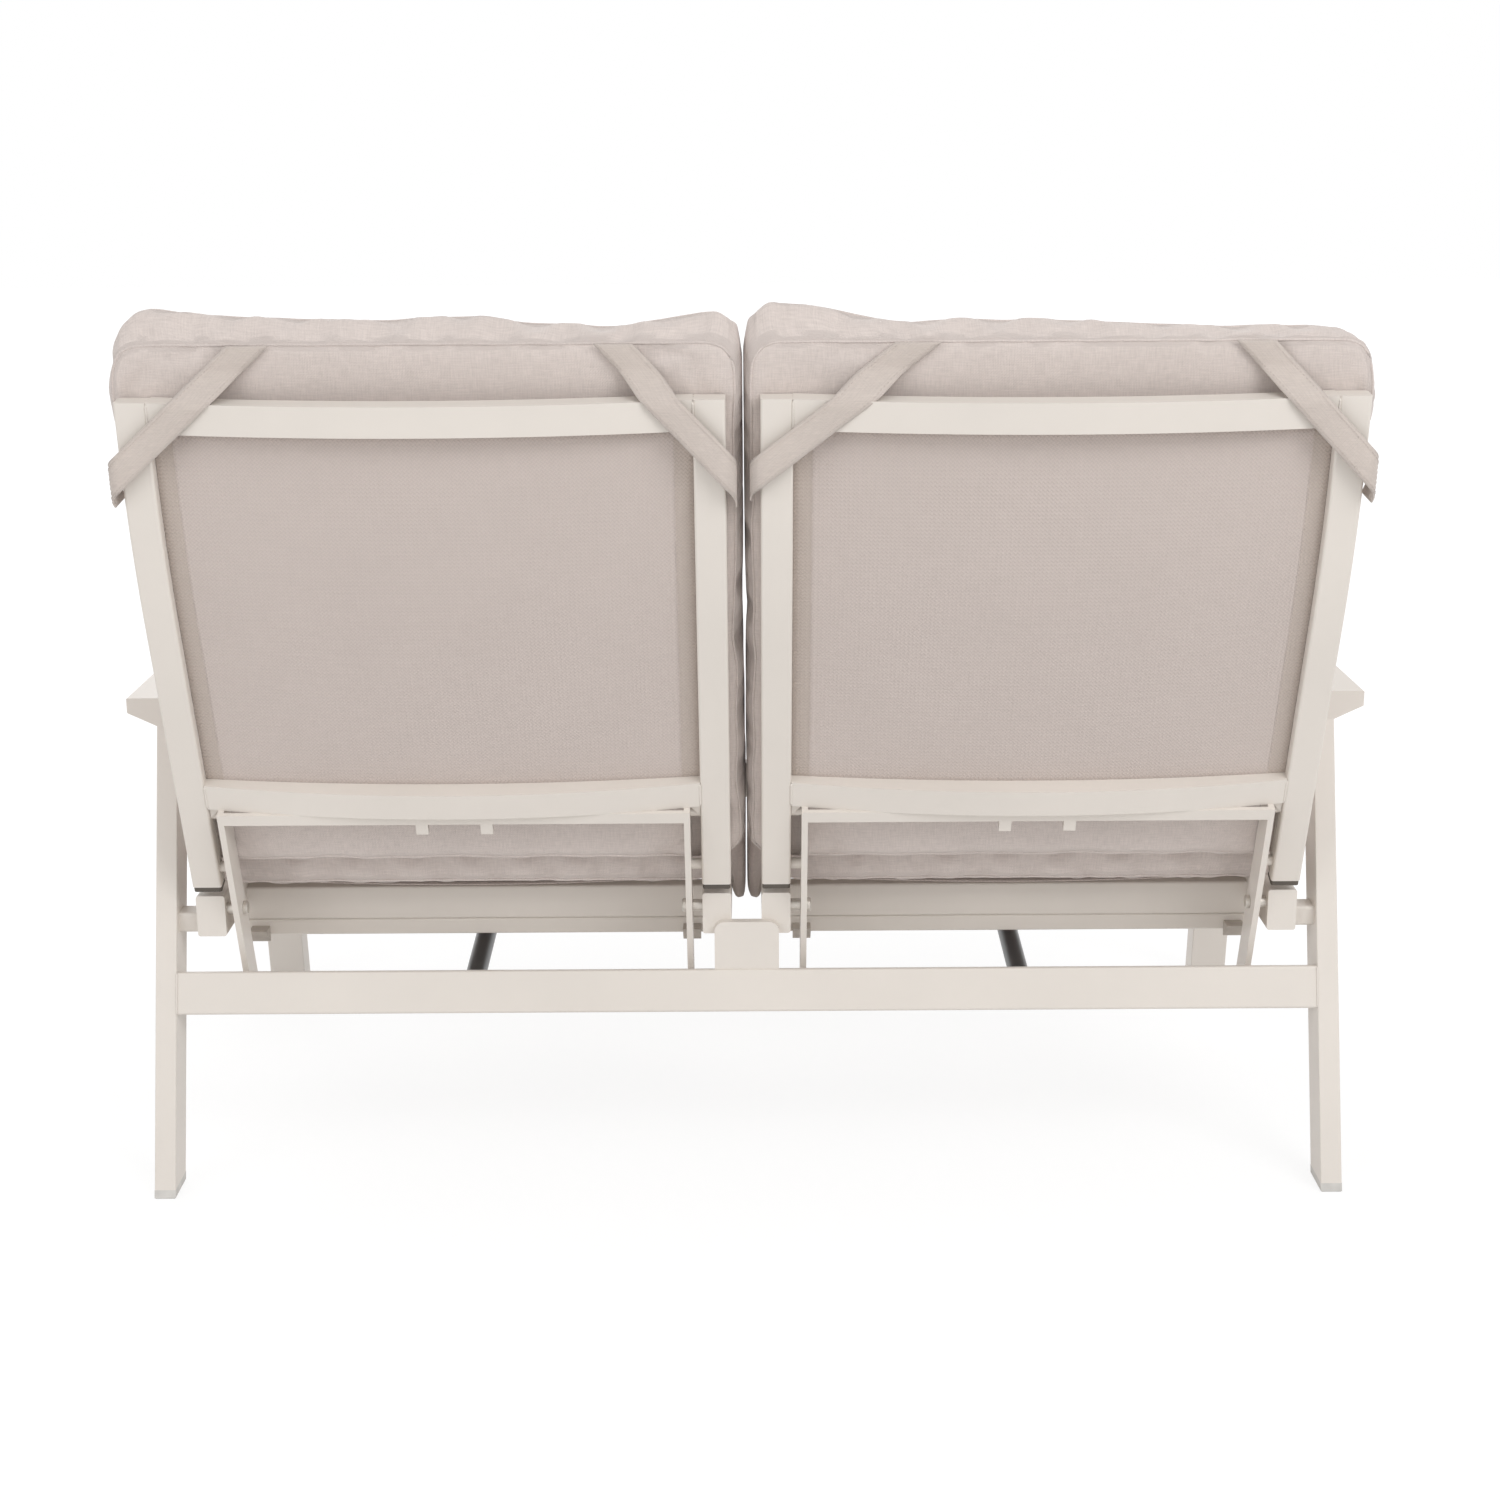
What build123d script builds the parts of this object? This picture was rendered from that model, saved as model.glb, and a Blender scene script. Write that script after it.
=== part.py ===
"""Outdoor loveseat with two independently reclining sling backs on gas springs.

The seat faces -Y, +X is to the right of someone looking at its front, and +Z is up.
It is modelled from the heel of the rear feet, then moved so that the origin is on
the floor under the middle of the whole loveseat.
"""
import math
import os

from build123d import *

os.makedirs("parts", exist_ok=True)

# Fits and clearances
touch_gap = 0.3
cushion_gap = 0.7
pivot_clearance = 0.06
open_pivot_clearance = 3.0
overrun = 5.0

# Aluminium tube
wall = 1.8
tube_corner = 3.0

# Side frames
leg_gap = 25.0
rear_leg_thickness = 25.0
rear_leg_depth = 50.0
rear_leg_lean = 17.4
arm_under_z = 533.0
arm_thickness = 34.0
arm_edge_height = 18.0
arm_inner_edge_height = 27.0
arm_overhang = 34.0
arm_width = 72.0
arm_inner_bevel = 6.0
arm_front_overhang = 24.0
front_leg_width = 50.0
front_leg_depth = 40.0
front_leg_lean = 8.0
front_leg_top_y = -650.0
foot_height = 10.0
foot_lip = 1.2
foot_plug = 12.0

# Rear stretcher and the post on it that carries the inner seat rails
stretcher_height = 50.0
stretcher_depth = 25.0
stretcher_top_z = 254.0
post_width = 76.0
post_depth = 12.0
post_height = 58.0
post_corner = 12.0
seat_rise = 40.0

# Seat frames
seat_inner_x = 18.0
seat_outer_x = 650.0
seat_rail_width = 34.0
seat_rail_height = 50.0
seat_rail_rear_y = -94.0
front_rail_depth = 25.0
front_rail_offset = 12.0
rear_rail_height = 42.0
rear_rail_depth = 25.0
rear_rail_y = -211.0
cross_tube_height = 20.0
cross_tube_depth = 40.0
connector_height = 24.0
connector_depth = 30.0
sling_thickness = 1.6
seat_sling_drop = 8.0
seat_sling_sag = 10.0
slit_width = 2.6
slit_depth = 6.0

# Backs
back_start_z = 358.0
back_start_y = -84.0
back_lean = 20.6
stile_width = 34.0
stile_depth = 25.0
stile_straight = 355.0
stile_bend_radius = 1110.0
stile_bend = 13.6
stile_cap = 7.0
stile_cap_inset = 1.5
bottom_rail_start = 115.0
back_rail_height = 33.0
back_rail_bow = 22.0
back_sling_forward = 15.0
back_sling_bow = 13.0

# Levers, cross bar and pivots
pivot_y = -108.0
pivot_z = 325.0
lever_gap = 12.0
lever_thickness = 7.0
lever_width = 38.0
lever_setback = 5.2
lever_reach = 124.0
lever_end = 14.0
spacer_diameter = 13.0
upper_spacer_along = 100.0
lower_spacer_along = 22.0
pivot_bolt_diameter = 10.0
pivot_head_diameter = 16.0
pivot_washer_diameter = 14.0
pivot_head_height = 5.0
cross_bar_height = 14.0
cross_bar_depth = 6.0
lug_size = 14.0
lug_pitch = 74.0
lug_depth = 10.0
lug_hole = 5.0
stop_width = 22.0
stop_rise = 12.0
stop_drop = 7.0

# Gas springs
spring_bar_diameter = 16.0
spring_bar_wall = 2.0
clevis_gap = 13.0
clevis_plate = 4.0
clevis_width = 24.0
clevis_reach = 26.0
spring_pin_diameter = 8.0
pin_head_diameter = 13.0
pin_head_height = 3.0
cylinder_diameter = 25.0
cylinder_length = 200.0
cylinder_neck = 12.0
cylinder_edge = 2.0
rod_diameter = 10.0
rod_inside = 60.0
spring_stroke_room = 55.0
eye_width = 12.4
eye_diameter = 24.0
rod_eye_diameter = 20.0
anchor_y = -480.0
anchor_z = 233.0
anchor_tube_y = -484.0
anchor_plate_width = 34.0
recline_range = 25.0

# Release paddles
paddle_width = 12.0
paddle_thickness = 4.0
paddle_pivot_forward = 22.0
paddle_pivot_rise = 20.0
paddle_end_y = -700.0
paddle_boss = 16.0
paddle_rise = 12.0
grip_width = 70.0
grip_length = 26.0
grip_thickness = 9.0
paddle_pin_diameter = 6.0

# Seat cushions
seat_cushion_gap = 5.0
seat_cushion_rear_y = -150.0
seat_cushion_front_y = -716.0
seat_cushion_edge = 64.0
seat_cushion_crown = 88.0
seat_cushion_rear_edge = 44.0
seat_cushion_draw = 7.0
seat_cushion_outer_gap = 3.0
cushion_corner = 16.0

# Back cushions
back_cushion_start = 40.0
back_cushion_end = 704.0
back_cushion_overhang = 7.0
back_cushion_inner = 4.0
back_cushion_edge = 78.0
back_cushion_crown = 124.0
back_cushion_draw = 8.0
back_cushion_end_draw = 10.0

# Cushion slices as shares: place along, edge height, crown height and side draw
seat_slice_shares = (
    (0.0, 0.0, 0.0, 0.35), (0.06, 0.45, 0.25, 0.7), (0.25, 0.95, 0.85, 1.0), (0.5, 1.0, 1.0, 1.2),
    (0.75, 1.0, 0.9, 1.0), (0.94, 0.85, 0.5, 0.7), (1.0, 0.45, 0.15, 0.35))
back_slice_shares = (
    (0.0, 0.45, 0.05, 0.3), (0.05, 0.8, 0.35, 0.7), (0.2, 0.98, 0.9, 1.0), (0.36, 1.0, 1.0, 1.1),
    (0.48, 1.0, 1.0, 1.2), (0.6, 1.0, 0.98, 1.1), (0.72, 1.0, 0.93, 1.0), (0.84, 0.98, 0.82, 0.9),
    (0.95, 0.85, 0.45, 0.6), (1.0, 0.5, 0.1, 0.25))

# Straps round the top corners of the backs
strap_width = 30.0
strap_thickness = 1.6
strap_top_inset = 128.0
strap_top_rise = 48.0
strap_side_drop = 74.0
strap_rail_room = 9.6
strap_bend_rise = 26.0
strap_wrap = 20.0
strap_miter = 0.8
strap_bend_start = 1.0

# Heights and places that follow from the sizes above
arm_top_z = arm_under_z + arm_thickness
leg_outer_x = seat_outer_x + leg_gap + rear_leg_thickness
arm_outer_x = leg_outer_x + arm_overhang
lean_tan = math.tan(math.radians(rear_leg_lean))
rear_leg_depth_y = rear_leg_depth / math.cos(math.radians(rear_leg_lean))
front_lean_tan = math.tan(math.radians(front_leg_lean))
front_leg_depth_y = front_leg_depth / math.cos(math.radians(front_leg_lean))
front_leg_rear_foot_y = front_leg_top_y - arm_under_z * front_lean_tan + front_leg_depth_y / 2
seat_base_z = stretcher_top_z + seat_rise
seat_rail_z = seat_base_z + seat_rail_height / 2
seat_top_z = seat_base_z + seat_rail_height
rear_leg_inner_x = leg_outer_x - rear_leg_thickness
front_leg_inner_x = leg_outer_x - front_leg_width
seat_width = seat_outer_x - seat_inner_x
seat_mid_x = seat_inner_x + seat_width / 2
front_leg_rear_y = front_leg_rear_foot_y + seat_rail_z * front_lean_tan
front_rail_rear_y = front_leg_rear_y - front_rail_offset
seat_rail_length = seat_rail_rear_y - front_rail_rear_y
stile_length = stile_straight + stile_bend_radius * math.radians(stile_bend)
lever_inner_x = seat_inner_x + seat_rail_width + lever_gap
lever_outer_x = seat_outer_x - seat_rail_width - lever_gap
lean_sin = math.sin(math.radians(back_lean))
lean_cos = math.cos(math.radians(back_lean))
stile_above_pivot = (back_start_y - pivot_y) * lean_sin + (back_start_z - pivot_z) * lean_cos
lever_top = stile_above_pivot + bottom_rail_start


def across_tube(x_low, x_high, y_rear, z_low, depth, height):
    """A hollow rectangular tube along X, from its rear face and its underside."""
    plane = Plane(origin=(x_low, y_rear - depth / 2, z_low + height / 2), x_dir=(0, 1, 0), z_dir=(1, 0, 0))
    section = RectangleRounded(depth, height, tube_corner) - Rectangle(depth - 2 * wall, height - 2 * wall)
    return extrude(plane * section, x_high - x_low)


def lengthwise_tube(x_mid, y_rear, z_low, width, height, length):
    """A hollow rectangular tube along Y, running forwards from y_rear."""
    plane = Plane(origin=(x_mid, y_rear, z_low + height / 2), x_dir=(1, 0, 0), z_dir=(0, -1, 0))
    section = RectangleRounded(width, height, tube_corner) - Rectangle(width - 2 * wall, height - 2 * wall)
    return extrude(plane * section, length)


def side_prism(outline, x_low, x_high):
    """A prism along X over an outline of (y, z) points."""
    face = make_face(Polyline(*[(0, y, z) for y, z in outline], close=True))
    return extrude(face, x_high - x_low, dir=(1, 0, 0)).moved(Location((x_low, 0, 0)))


def leaning_leg(x_low, x_high, z_low, z_high, rear_foot_y, slope, depth):
    """A hollow leg whose rear face moves by slope * z from rear_foot_y."""
    def outline(low, high, inset):
        rear_low = rear_foot_y + slope * low - inset
        rear_high = rear_foot_y + slope * high - inset
        front = depth - 2 * inset
        return [(rear_low, low), (rear_high, high), (rear_high - front, high), (rear_low - front, low)]

    outer = side_prism(outline(z_low, z_high, 0), x_low, x_high)
    hollow = side_prism(outline(z_low - overrun, z_high + overrun, wall), x_low + wall, x_high - wall)
    long_edges = [edge for edge in outer.edges() if abs(edge.tangent_at(0).Z) > math.cos(math.radians(45))]
    return fillet(long_edges, tube_corner / 2) - hollow


def x_rod(x_low, x_high, y, z, diameter):
    """A round bar along X."""
    plane = Plane(origin=(x_low, y, z), x_dir=(0, 1, 0), z_dir=(1, 0, 0))
    return extrude(plane * Circle(diameter / 2), x_high - x_low)


def lever_spot(along, setback=lever_setback):
    """Y and Z on a lever, measured up it from the pivot and back from the pivot."""
    y = pivot_y + along * lean_sin + setback * lean_cos
    z = pivot_z + along * lean_cos - setback * lean_sin
    return y, z


def lever_plane(x_low, along):
    """A plane square to X whose x is to the rear and whose y runs up the lever."""
    y, z = lever_spot(along)
    return Plane(origin=(x_low, y, z), x_dir=(0, lean_cos, -lean_sin), z_dir=(1, 0, 0))


def back_spot(along, forward):
    """Y, Z and lean in degrees at a distance up the stiles' rear face and forward of it."""
    lean = math.radians(back_lean)
    y = back_start_y + min(along, stile_straight) * math.sin(lean)
    z = back_start_z + min(along, stile_straight) * math.cos(lean)
    if along > stile_straight:
        centre_y = y - stile_bend_radius * math.cos(lean)
        centre_z = z + stile_bend_radius * math.sin(lean)
        turned = min(along - stile_straight, stile_length - stile_straight)
        lean = lean - turned / stile_bend_radius
        y = centre_y + stile_bend_radius * math.cos(lean)
        z = centre_z - stile_bend_radius * math.sin(lean)
    beyond = max(along - stile_length, 0)
    y = y + beyond * math.sin(lean) - forward * math.cos(lean)
    z = z + beyond * math.cos(lean) + forward * math.sin(lean)
    return y, z, math.degrees(lean)


def back_plane(along, forward, x=0.0):
    """A plane square to the stiles, with its x along X and its y to the rear."""
    y, z, lean = back_spot(along, forward)
    tangent = (0, math.sin(math.radians(lean)), math.cos(math.radians(lean)))
    return Plane(origin=(x, y, z), x_dir=(1, 0, 0), z_dir=tangent)


def back_path(start, end, forward):
    """The stiles' side line from start to end: a straight run and a gentle arc."""
    def spot(along):
        y, z, _ = back_spot(along, forward)
        return (0, y, z)

    straight = Line(spot(start), spot(stile_straight))
    arc = ThreePointArc(spot(stile_straight), spot((stile_straight + end) / 2), spot(end))
    return straight + arc


def stile_bar(section):
    """A section carried up the stile: extruded up its straight run, then turned through its bend."""
    straight = extrude(back_plane(0, stile_depth / 2) * section, stile_straight)
    y, z, lean = back_spot(stile_straight, stile_bend_radius)
    bend_axis = Axis((0, y, z), (1, 0, 0))
    bent = revolve(back_plane(stile_straight, stile_depth / 2) * section, bend_axis, stile_bend)
    return straight + bent


def bowed_face(x_low, x_high, forward_front, forward_rear, bow):
    """A band between two arcs, bowed to the rear, for a plane whose y is to the rear."""
    x_mid = (x_low + x_high) / 2
    rear = ThreePointArc((x_low, -forward_rear), (x_mid, -forward_rear + bow), (x_high, -forward_rear))
    front = ThreePointArc((x_high, -forward_front), (x_mid, -forward_front + bow), (x_low, -forward_front))
    ends = [Line(rear @ 1, front @ 0), Line(front @ 1, rear @ 0)]
    return make_face([rear, ends[0], front, ends[1]])


def group(shapes):
    """One compound of separate solids."""
    return Compound([solid for shape in shapes for solid in shape.solids()])


def both_sides(name, shape, pieces):
    """Adds a piece for the right (+X) seat and its mirror image for the left."""
    pieces["right_" + name] = shape
    pieces["left_" + name] = mirror(shape, about=Plane.YZ)


def with_mirrors(shapes):
    """One compound of the shapes and their mirror images."""
    return group(shapes + [mirror(shape, about=Plane.YZ) for shape in shapes])


def side_frames(pieces):
    """Legs, armrests, feet and the connectors from the rear legs to the outer seat rails."""
    rear_leg = leaning_leg(
        rear_leg_inner_x, leg_outer_x, foot_height, arm_under_z, 0, -lean_tan, rear_leg_depth_y)
    both_sides("rear_leg", rear_leg, pieces)
    front_leg = leaning_leg(
        front_leg_inner_x, leg_outer_x, foot_height, arm_under_z,
        front_leg_rear_foot_y, front_lean_tan, front_leg_depth_y)
    both_sides("front_leg", front_leg, pieces)

    arm_inner_x = arm_outer_x - arm_width
    arm_rear_y = -arm_under_z * lean_tan
    arm_length = arm_rear_y - (front_leg_top_y - front_leg_depth_y / 2 - arm_front_overhang)
    outline = [
        (arm_inner_x, arm_top_z), (arm_outer_x, arm_top_z),
        (arm_outer_x, arm_top_z - arm_edge_height), (leg_outer_x, arm_under_z),
        (arm_inner_x + arm_inner_bevel, arm_under_z), (arm_inner_x, arm_top_z - arm_inner_edge_height)]
    arm_face = make_face(Polyline(*[(x, arm_rear_y, z) for x, z in outline], close=True))
    armrest = extrude(arm_face, arm_length, dir=(0, -1, 0))
    hollow = scaled_about(armrest, arm_outer_x - arm_width / 2, arm_rear_y - arm_length / 2,
                          arm_under_z + arm_thickness / 2, wall)
    long_edges = armrest.edges().filter_by(Axis.Y)
    armrest = fillet(long_edges, tube_corner / 2) - hollow
    both_sides("armrest", armrest, pieces)

    feet = []
    for x_low, rear_foot_y, slope, depth in (
            (rear_leg_inner_x, 0, -lean_tan, rear_leg_depth_y),
            (front_leg_inner_x, front_leg_rear_foot_y, front_lean_tan, front_leg_depth_y)):
        feet.append(foot_cap(x_low, leg_outer_x, rear_foot_y, slope, depth))
    pieces["foot_caps"] = with_mirrors(feet)

    connector_y = seat_rail_rear_y - connector_depth / 2
    connector = across_tube(
        seat_outer_x, rear_leg_inner_x, connector_y, seat_base_z, connector_depth, connector_height)
    pieces["leg_connectors"] = with_mirrors([connector])


def scaled_about(shape, x, y, z, inset):
    """A copy shrunk by inset on every side, for hollowing a long closed profile."""
    box = shape.bounding_box()
    centred = shape.moved(Location((-x, -y, -z)))
    shares = [(size - 2 * inset) / size for size in (box.size.X, box.size.Y, box.size.Z)]
    return scale(centred, by=tuple(shares)).moved(Location((x, y, z)))


def foot_cap(x_low, x_high, rear_foot_y, slope, depth):
    """A plastic glide under a leg, with a plug that goes up inside the tube."""
    def outline(low, high, inset):
        rear_low = rear_foot_y + slope * low - inset
        rear_high = rear_foot_y + slope * high - inset
        front = depth - 2 * inset
        return [(rear_low, low), (rear_high, high), (rear_high - front, high), (rear_low - front, low)]

    shoe = side_prism(outline(0, foot_height, 0), x_low, x_high)
    inset = wall + touch_gap
    plug = side_prism(outline(foot_height, foot_height + foot_plug, inset), x_low + inset, x_high - inset)
    return chamfer(shoe.faces().sort_by(Axis.Z)[0].edges(), foot_lip) + plug


def base_members(pieces):
    """The stretcher, the centre post on it and the front rail."""
    lean = math.radians(rear_leg_lean)
    plane = Plane(
        origin=(-rear_leg_inner_x, -stretcher_top_z * lean_tan, stretcher_top_z),
        x_dir=(0, math.cos(lean), math.sin(lean)), z_dir=(1, 0, 0))
    section = RectangleRounded(stretcher_depth, stretcher_height, tube_corner)
    section -= Rectangle(stretcher_depth - 2 * wall, stretcher_height - 2 * wall)
    section = Location((-stretcher_depth / 2, -stretcher_height / 2)) * section
    pieces["rear_stretcher"] = extrude(plane * section, 2 * rear_leg_inner_x)

    pieces["front_rail"] = across_tube(
        -front_leg_inner_x, front_leg_inner_x, front_rail_rear_y, seat_base_z,
        front_rail_depth, seat_rail_height)

    front_y = seat_rail_rear_y
    rear_y = front_y + post_depth
    top_edge_y = -stretcher_top_z * lean_tan
    outline = [
        (rear_y, stretcher_top_z + (rear_y - top_edge_y) * lean_tan), (rear_y, stretcher_top_z + post_height),
        (front_y, stretcher_top_z + post_height), (front_y, stretcher_top_z + (front_y - top_edge_y) * lean_tan)]
    post = side_prism(outline, -post_width / 2, post_width / 2)
    post = fillet(post.edges().filter_by(Axis.Y).group_by(Axis.Z)[-1], post_corner)
    room = Location((0, front_y + post_depth / 2, stretcher_top_z)) * Box(
        post_width - 2 * wall, post_depth - 2 * wall, post_height)
    pieces["centre_post"] = post - room


def seat_frame(pieces):
    """Rails, cross tubes, stops and the sling of the right seat, mirrored for the left."""
    inner_mid_x = seat_inner_x + seat_rail_width / 2
    outer_mid_x = seat_outer_x - seat_rail_width / 2
    slit_z = seat_top_z - seat_sling_drop
    sling_rear_y = rear_rail_y + rear_rail_depth
    sling_front_y = front_rail_rear_y + touch_gap
    slit_length = sling_rear_y - sling_front_y + 2 * overrun
    slit_y = sling_rear_y + overrun - slit_length / 2
    bolt_hole = pivot_bolt_diameter / 2 + pivot_clearance
    for name, mid_x, face_sign in (("inner_seat_rail", inner_mid_x, 1), ("outer_seat_rail", outer_mid_x, -1)):
        rail = lengthwise_tube(
            mid_x, seat_rail_rear_y, seat_base_z, seat_rail_width, seat_rail_height, seat_rail_length)
        face_x = mid_x + face_sign * seat_rail_width / 2
        slit = Location((face_x, slit_y, slit_z)) * Box(2 * slit_depth, slit_length, slit_width)
        hole = x_rod(mid_x - seat_rail_width, mid_x + seat_rail_width, pivot_y, pivot_z, 2 * bolt_hole)
        end = Location((mid_x, seat_rail_rear_y - wall / 2, seat_rail_z)) * Box(
            seat_rail_width - 2 * wall, wall, seat_rail_height - 2 * wall)
        both_sides(name, rail - slit - hole + end, pieces)

    rail_low_x = seat_inner_x + seat_rail_width
    rail_high_x = seat_outer_x - seat_rail_width
    rear_rail_z = stretcher_top_z + cross_tube_height
    both_sides("seat_rear_rail", across_tube(
        rail_low_x, rail_high_x, rear_rail_y, rear_rail_z, rear_rail_depth, rear_rail_height), pieces)
    pieces["lower_cross_tubes"] = with_mirrors([across_tube(
        rail_low_x, rail_high_x, rear_rail_y, stretcher_top_z, cross_tube_depth, cross_tube_height)])
    pieces["spring_cross_tubes"] = with_mirrors([across_tube(
        seat_inner_x, seat_outer_x, anchor_tube_y, seat_base_z - cross_tube_height,
        cross_tube_depth, cross_tube_height)])

    stop_low_z = stretcher_top_z - stop_drop
    stop_high_z = stretcher_top_z + stop_rise
    outline = [
        (rear_rail_y, stop_low_z), (reclined_lever_y(stop_low_z), stop_low_z),
        (reclined_lever_y(stop_high_z), stop_high_z), (rear_rail_y, stop_high_z)]
    stops = []
    for lever_x in (lever_inner_x + lever_thickness / 2, lever_outer_x - lever_thickness / 2):
        stops.append(side_prism(outline, lever_x - stop_width / 2, lever_x + stop_width / 2))
    pieces["lever_stops"] = with_mirrors(stops)

    half = (rail_high_x - rail_low_x) / 2 + slit_depth - touch_gap
    top = ThreePointArc((-half, 0), (0, -seat_sling_sag), (half, 0))
    under = ThreePointArc(
        (half, -sling_thickness), (0, -seat_sling_sag - sling_thickness), (-half, -sling_thickness))
    sling_face = make_face([top, Line(top @ 1, under @ 0), under, Line(under @ 1, top @ 0)])
    plane = Plane(origin=(seat_mid_x, sling_rear_y, slit_z + sling_thickness / 2), x_dir=(1, 0, 0), z_dir=(0, -1, 0))
    both_sides("seat_sling", extrude(plane * sling_face, sling_rear_y - sling_front_y), pieces)


def reclined_lever_y(z):
    """Y of the levers' front edge at a height when the back is fully reclined."""
    lean = math.radians(back_lean + recline_range)
    front = lever_width / 2 - lever_setback + touch_gap
    down = (pivot_z + front * math.sin(lean) - z) / math.cos(lean)
    return pivot_y - front * math.cos(lean) - down * math.sin(lean)


def back_frame(pieces):
    """Stiles, bowed rails, sling and stile caps of the right back, mirrored for the left."""
    stile_inner_mid = seat_inner_x + stile_width / 2
    stile_outer_mid = seat_outer_x - stile_width / 2
    slit_forward = back_sling_forward - stile_depth / 2
    for name, mid_x, face_sign in (("inner_stile", stile_inner_mid, 1), ("outer_stile", stile_outer_mid, -1)):
        section = RectangleRounded(stile_width, stile_depth, tube_corner)
        section -= Rectangle(stile_width - 2 * wall, stile_depth - 2 * wall)
        slit = Location((face_sign * stile_width / 2, -slit_forward)) * Rectangle(2 * slit_depth, slit_width)
        stile = stile_bar(section - slit)
        top = back_plane(stile_length, stile_depth / 2)
        lid = extrude(top * Rectangle(stile_width - wall, stile_depth - wall), -wall)
        both_sides(name, (stile + lid).moved(Location((mid_x, 0, 0))), pieces)

    low_x = seat_inner_x + stile_width
    high_x = seat_outer_x - stile_width
    top_rail_start = stile_length - back_rail_height
    for name, start in (("bottom_rail", bottom_rail_start), ("top_rail", top_rail_start)):
        outer = bowed_face(low_x, high_x, stile_depth, 0, back_rail_bow)
        inner = bowed_face(low_x - overrun, high_x + overrun, stile_depth - wall, wall, back_rail_bow)
        bar = extrude(back_plane(start, 0) * outer, back_rail_height)
        hollow = extrude(back_plane(start + wall, 0) * inner, back_rail_height - 2 * wall)
        both_sides(name, bar - hollow, pieces)

    sling_start = bottom_rail_start + back_rail_height + touch_gap
    sling_end = top_rail_start - touch_gap
    reach = slit_depth - touch_gap
    sling_face = bowed_face(
        low_x - reach, high_x + reach, back_sling_forward + sling_thickness / 2,
        back_sling_forward - sling_thickness / 2, back_sling_bow)
    sling_path = back_path(sling_start, sling_end, 0)
    both_sides("back_sling", sweep(back_plane(sling_start, 0) * sling_face, path=sling_path), pieces)

    caps = []
    for mid_x in (stile_inner_mid, stile_outer_mid):
        plane = back_plane(0, stile_depth / 2, mid_x)
        lip = RectangleRounded(stile_width - stile_cap_inset, stile_depth - stile_cap_inset, tube_corner)
        inset = 2 * (wall + touch_gap)
        plug_depth = stile_depth - inset
        plug_width = (stile_width - inset) / 2
        cap = extrude(plane * lip, -stile_cap) + extrude(plane * Rectangle(plug_width, plug_depth), stile_cap)
        caps.append(cap)
    both_sides("stile_caps", group(caps), pieces)


def levers(pieces):
    """Lever bars on their spacers, the pivot bolts, the cross bar and the spring bar."""
    half_width = lever_width / 2
    bar_outline = [
        Line((-half_width, -lever_reach), (-half_width, lever_top)),
        Line((-half_width, lever_top), (half_width, lever_top)),
        Line((half_width, lever_top), (half_width, -lever_reach)),
        ThreePointArc((half_width, -lever_reach), (0, -lever_reach - lever_end), (-half_width, -lever_reach))]
    hole_diameter = pivot_bolt_diameter + 2 * pivot_clearance
    spacers = []
    bolts = []
    for name, x_low, rail_face_x, side in (
            ("inner_lever", lever_inner_x, seat_inner_x + seat_rail_width, 1),
            ("outer_lever", lever_outer_x - lever_thickness, seat_outer_x - seat_rail_width, -1)):
        bar = extrude(lever_plane(x_low, 0) * make_face(bar_outline), lever_thickness)
        hole = x_rod(x_low - overrun, x_low + lever_thickness + overrun, pivot_y, pivot_z, hole_diameter)
        both_sides(name, bar - hole, pieces)
        near_x = x_low if side > 0 else x_low + lever_thickness
        for along in (lower_spacer_along, upper_spacer_along):
            y, z, _ = back_spot(along, stile_depth / 2)
            spacers.append(x_rod(*sorted((rail_face_x, near_x)), y, z, spacer_diameter))
        bolts.append(pivot_bolt(rail_face_x, near_x, side))
    both_sides("lever_spacers", group(spacers), pieces)
    pieces["pivot_bolts"] = with_mirrors(bolts)

    low_x = lever_inner_x + lever_thickness
    high_x = lever_outer_x - lever_thickness
    both_sides("cross_bar", cross_bar(low_x, high_x), pieces)
    both_sides("spring_bar", spring_bar(low_x, high_x), pieces)


def cross_bar(low_x, high_x):
    """A flat bar between the levers with two pierced lugs under it."""
    along = lever_top - cross_bar_height
    rear = lever_width / 2
    strip = Location((rear - cross_bar_depth / 2, cross_bar_height / 2)) * Rectangle(
        cross_bar_depth, cross_bar_height)
    bar = extrude(lever_plane(low_x, along) * strip, high_x - low_x)
    block = Location((rear - lug_depth / 2, -lug_size / 2)) * Rectangle(lug_depth, lug_size)
    block -= Location((rear - lug_depth / 2, -lug_size / 2)) * Circle(lug_hole / 2)
    for side in (-1, 1):
        lug_x = seat_mid_x + side * lug_pitch / 2 - lug_size / 2
        bar += extrude(lever_plane(lug_x, along) * block, lug_size)
    return bar


def spring_bar(low_x, high_x):
    """A round tube between the levers' lower ends, with a clevis and pin for the gas spring."""
    pin_y, pin_z = lever_spot(-lever_reach)
    bore = spring_bar_diameter - 2 * spring_bar_wall
    half_gap = clevis_gap / 2
    pin_reach = half_gap + clevis_plate
    bar = x_rod(low_x, high_x, pin_y, pin_z, spring_bar_diameter)
    bar -= x_rod(low_x - overrun, high_x + overrun, pin_y, pin_z, bore)
    bar -= x_rod(seat_mid_x - half_gap, seat_mid_x + half_gap, pin_y, pin_z, 2 * clevis_width)
    for plate_low in (seat_mid_x + half_gap, seat_mid_x - pin_reach):
        bar += x_rod(plate_low, plate_low + clevis_plate, pin_y, pin_z, clevis_width)
    return bar + x_rod(seat_mid_x - pin_reach, seat_mid_x + pin_reach, pin_y, pin_z, spring_pin_diameter)


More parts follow.
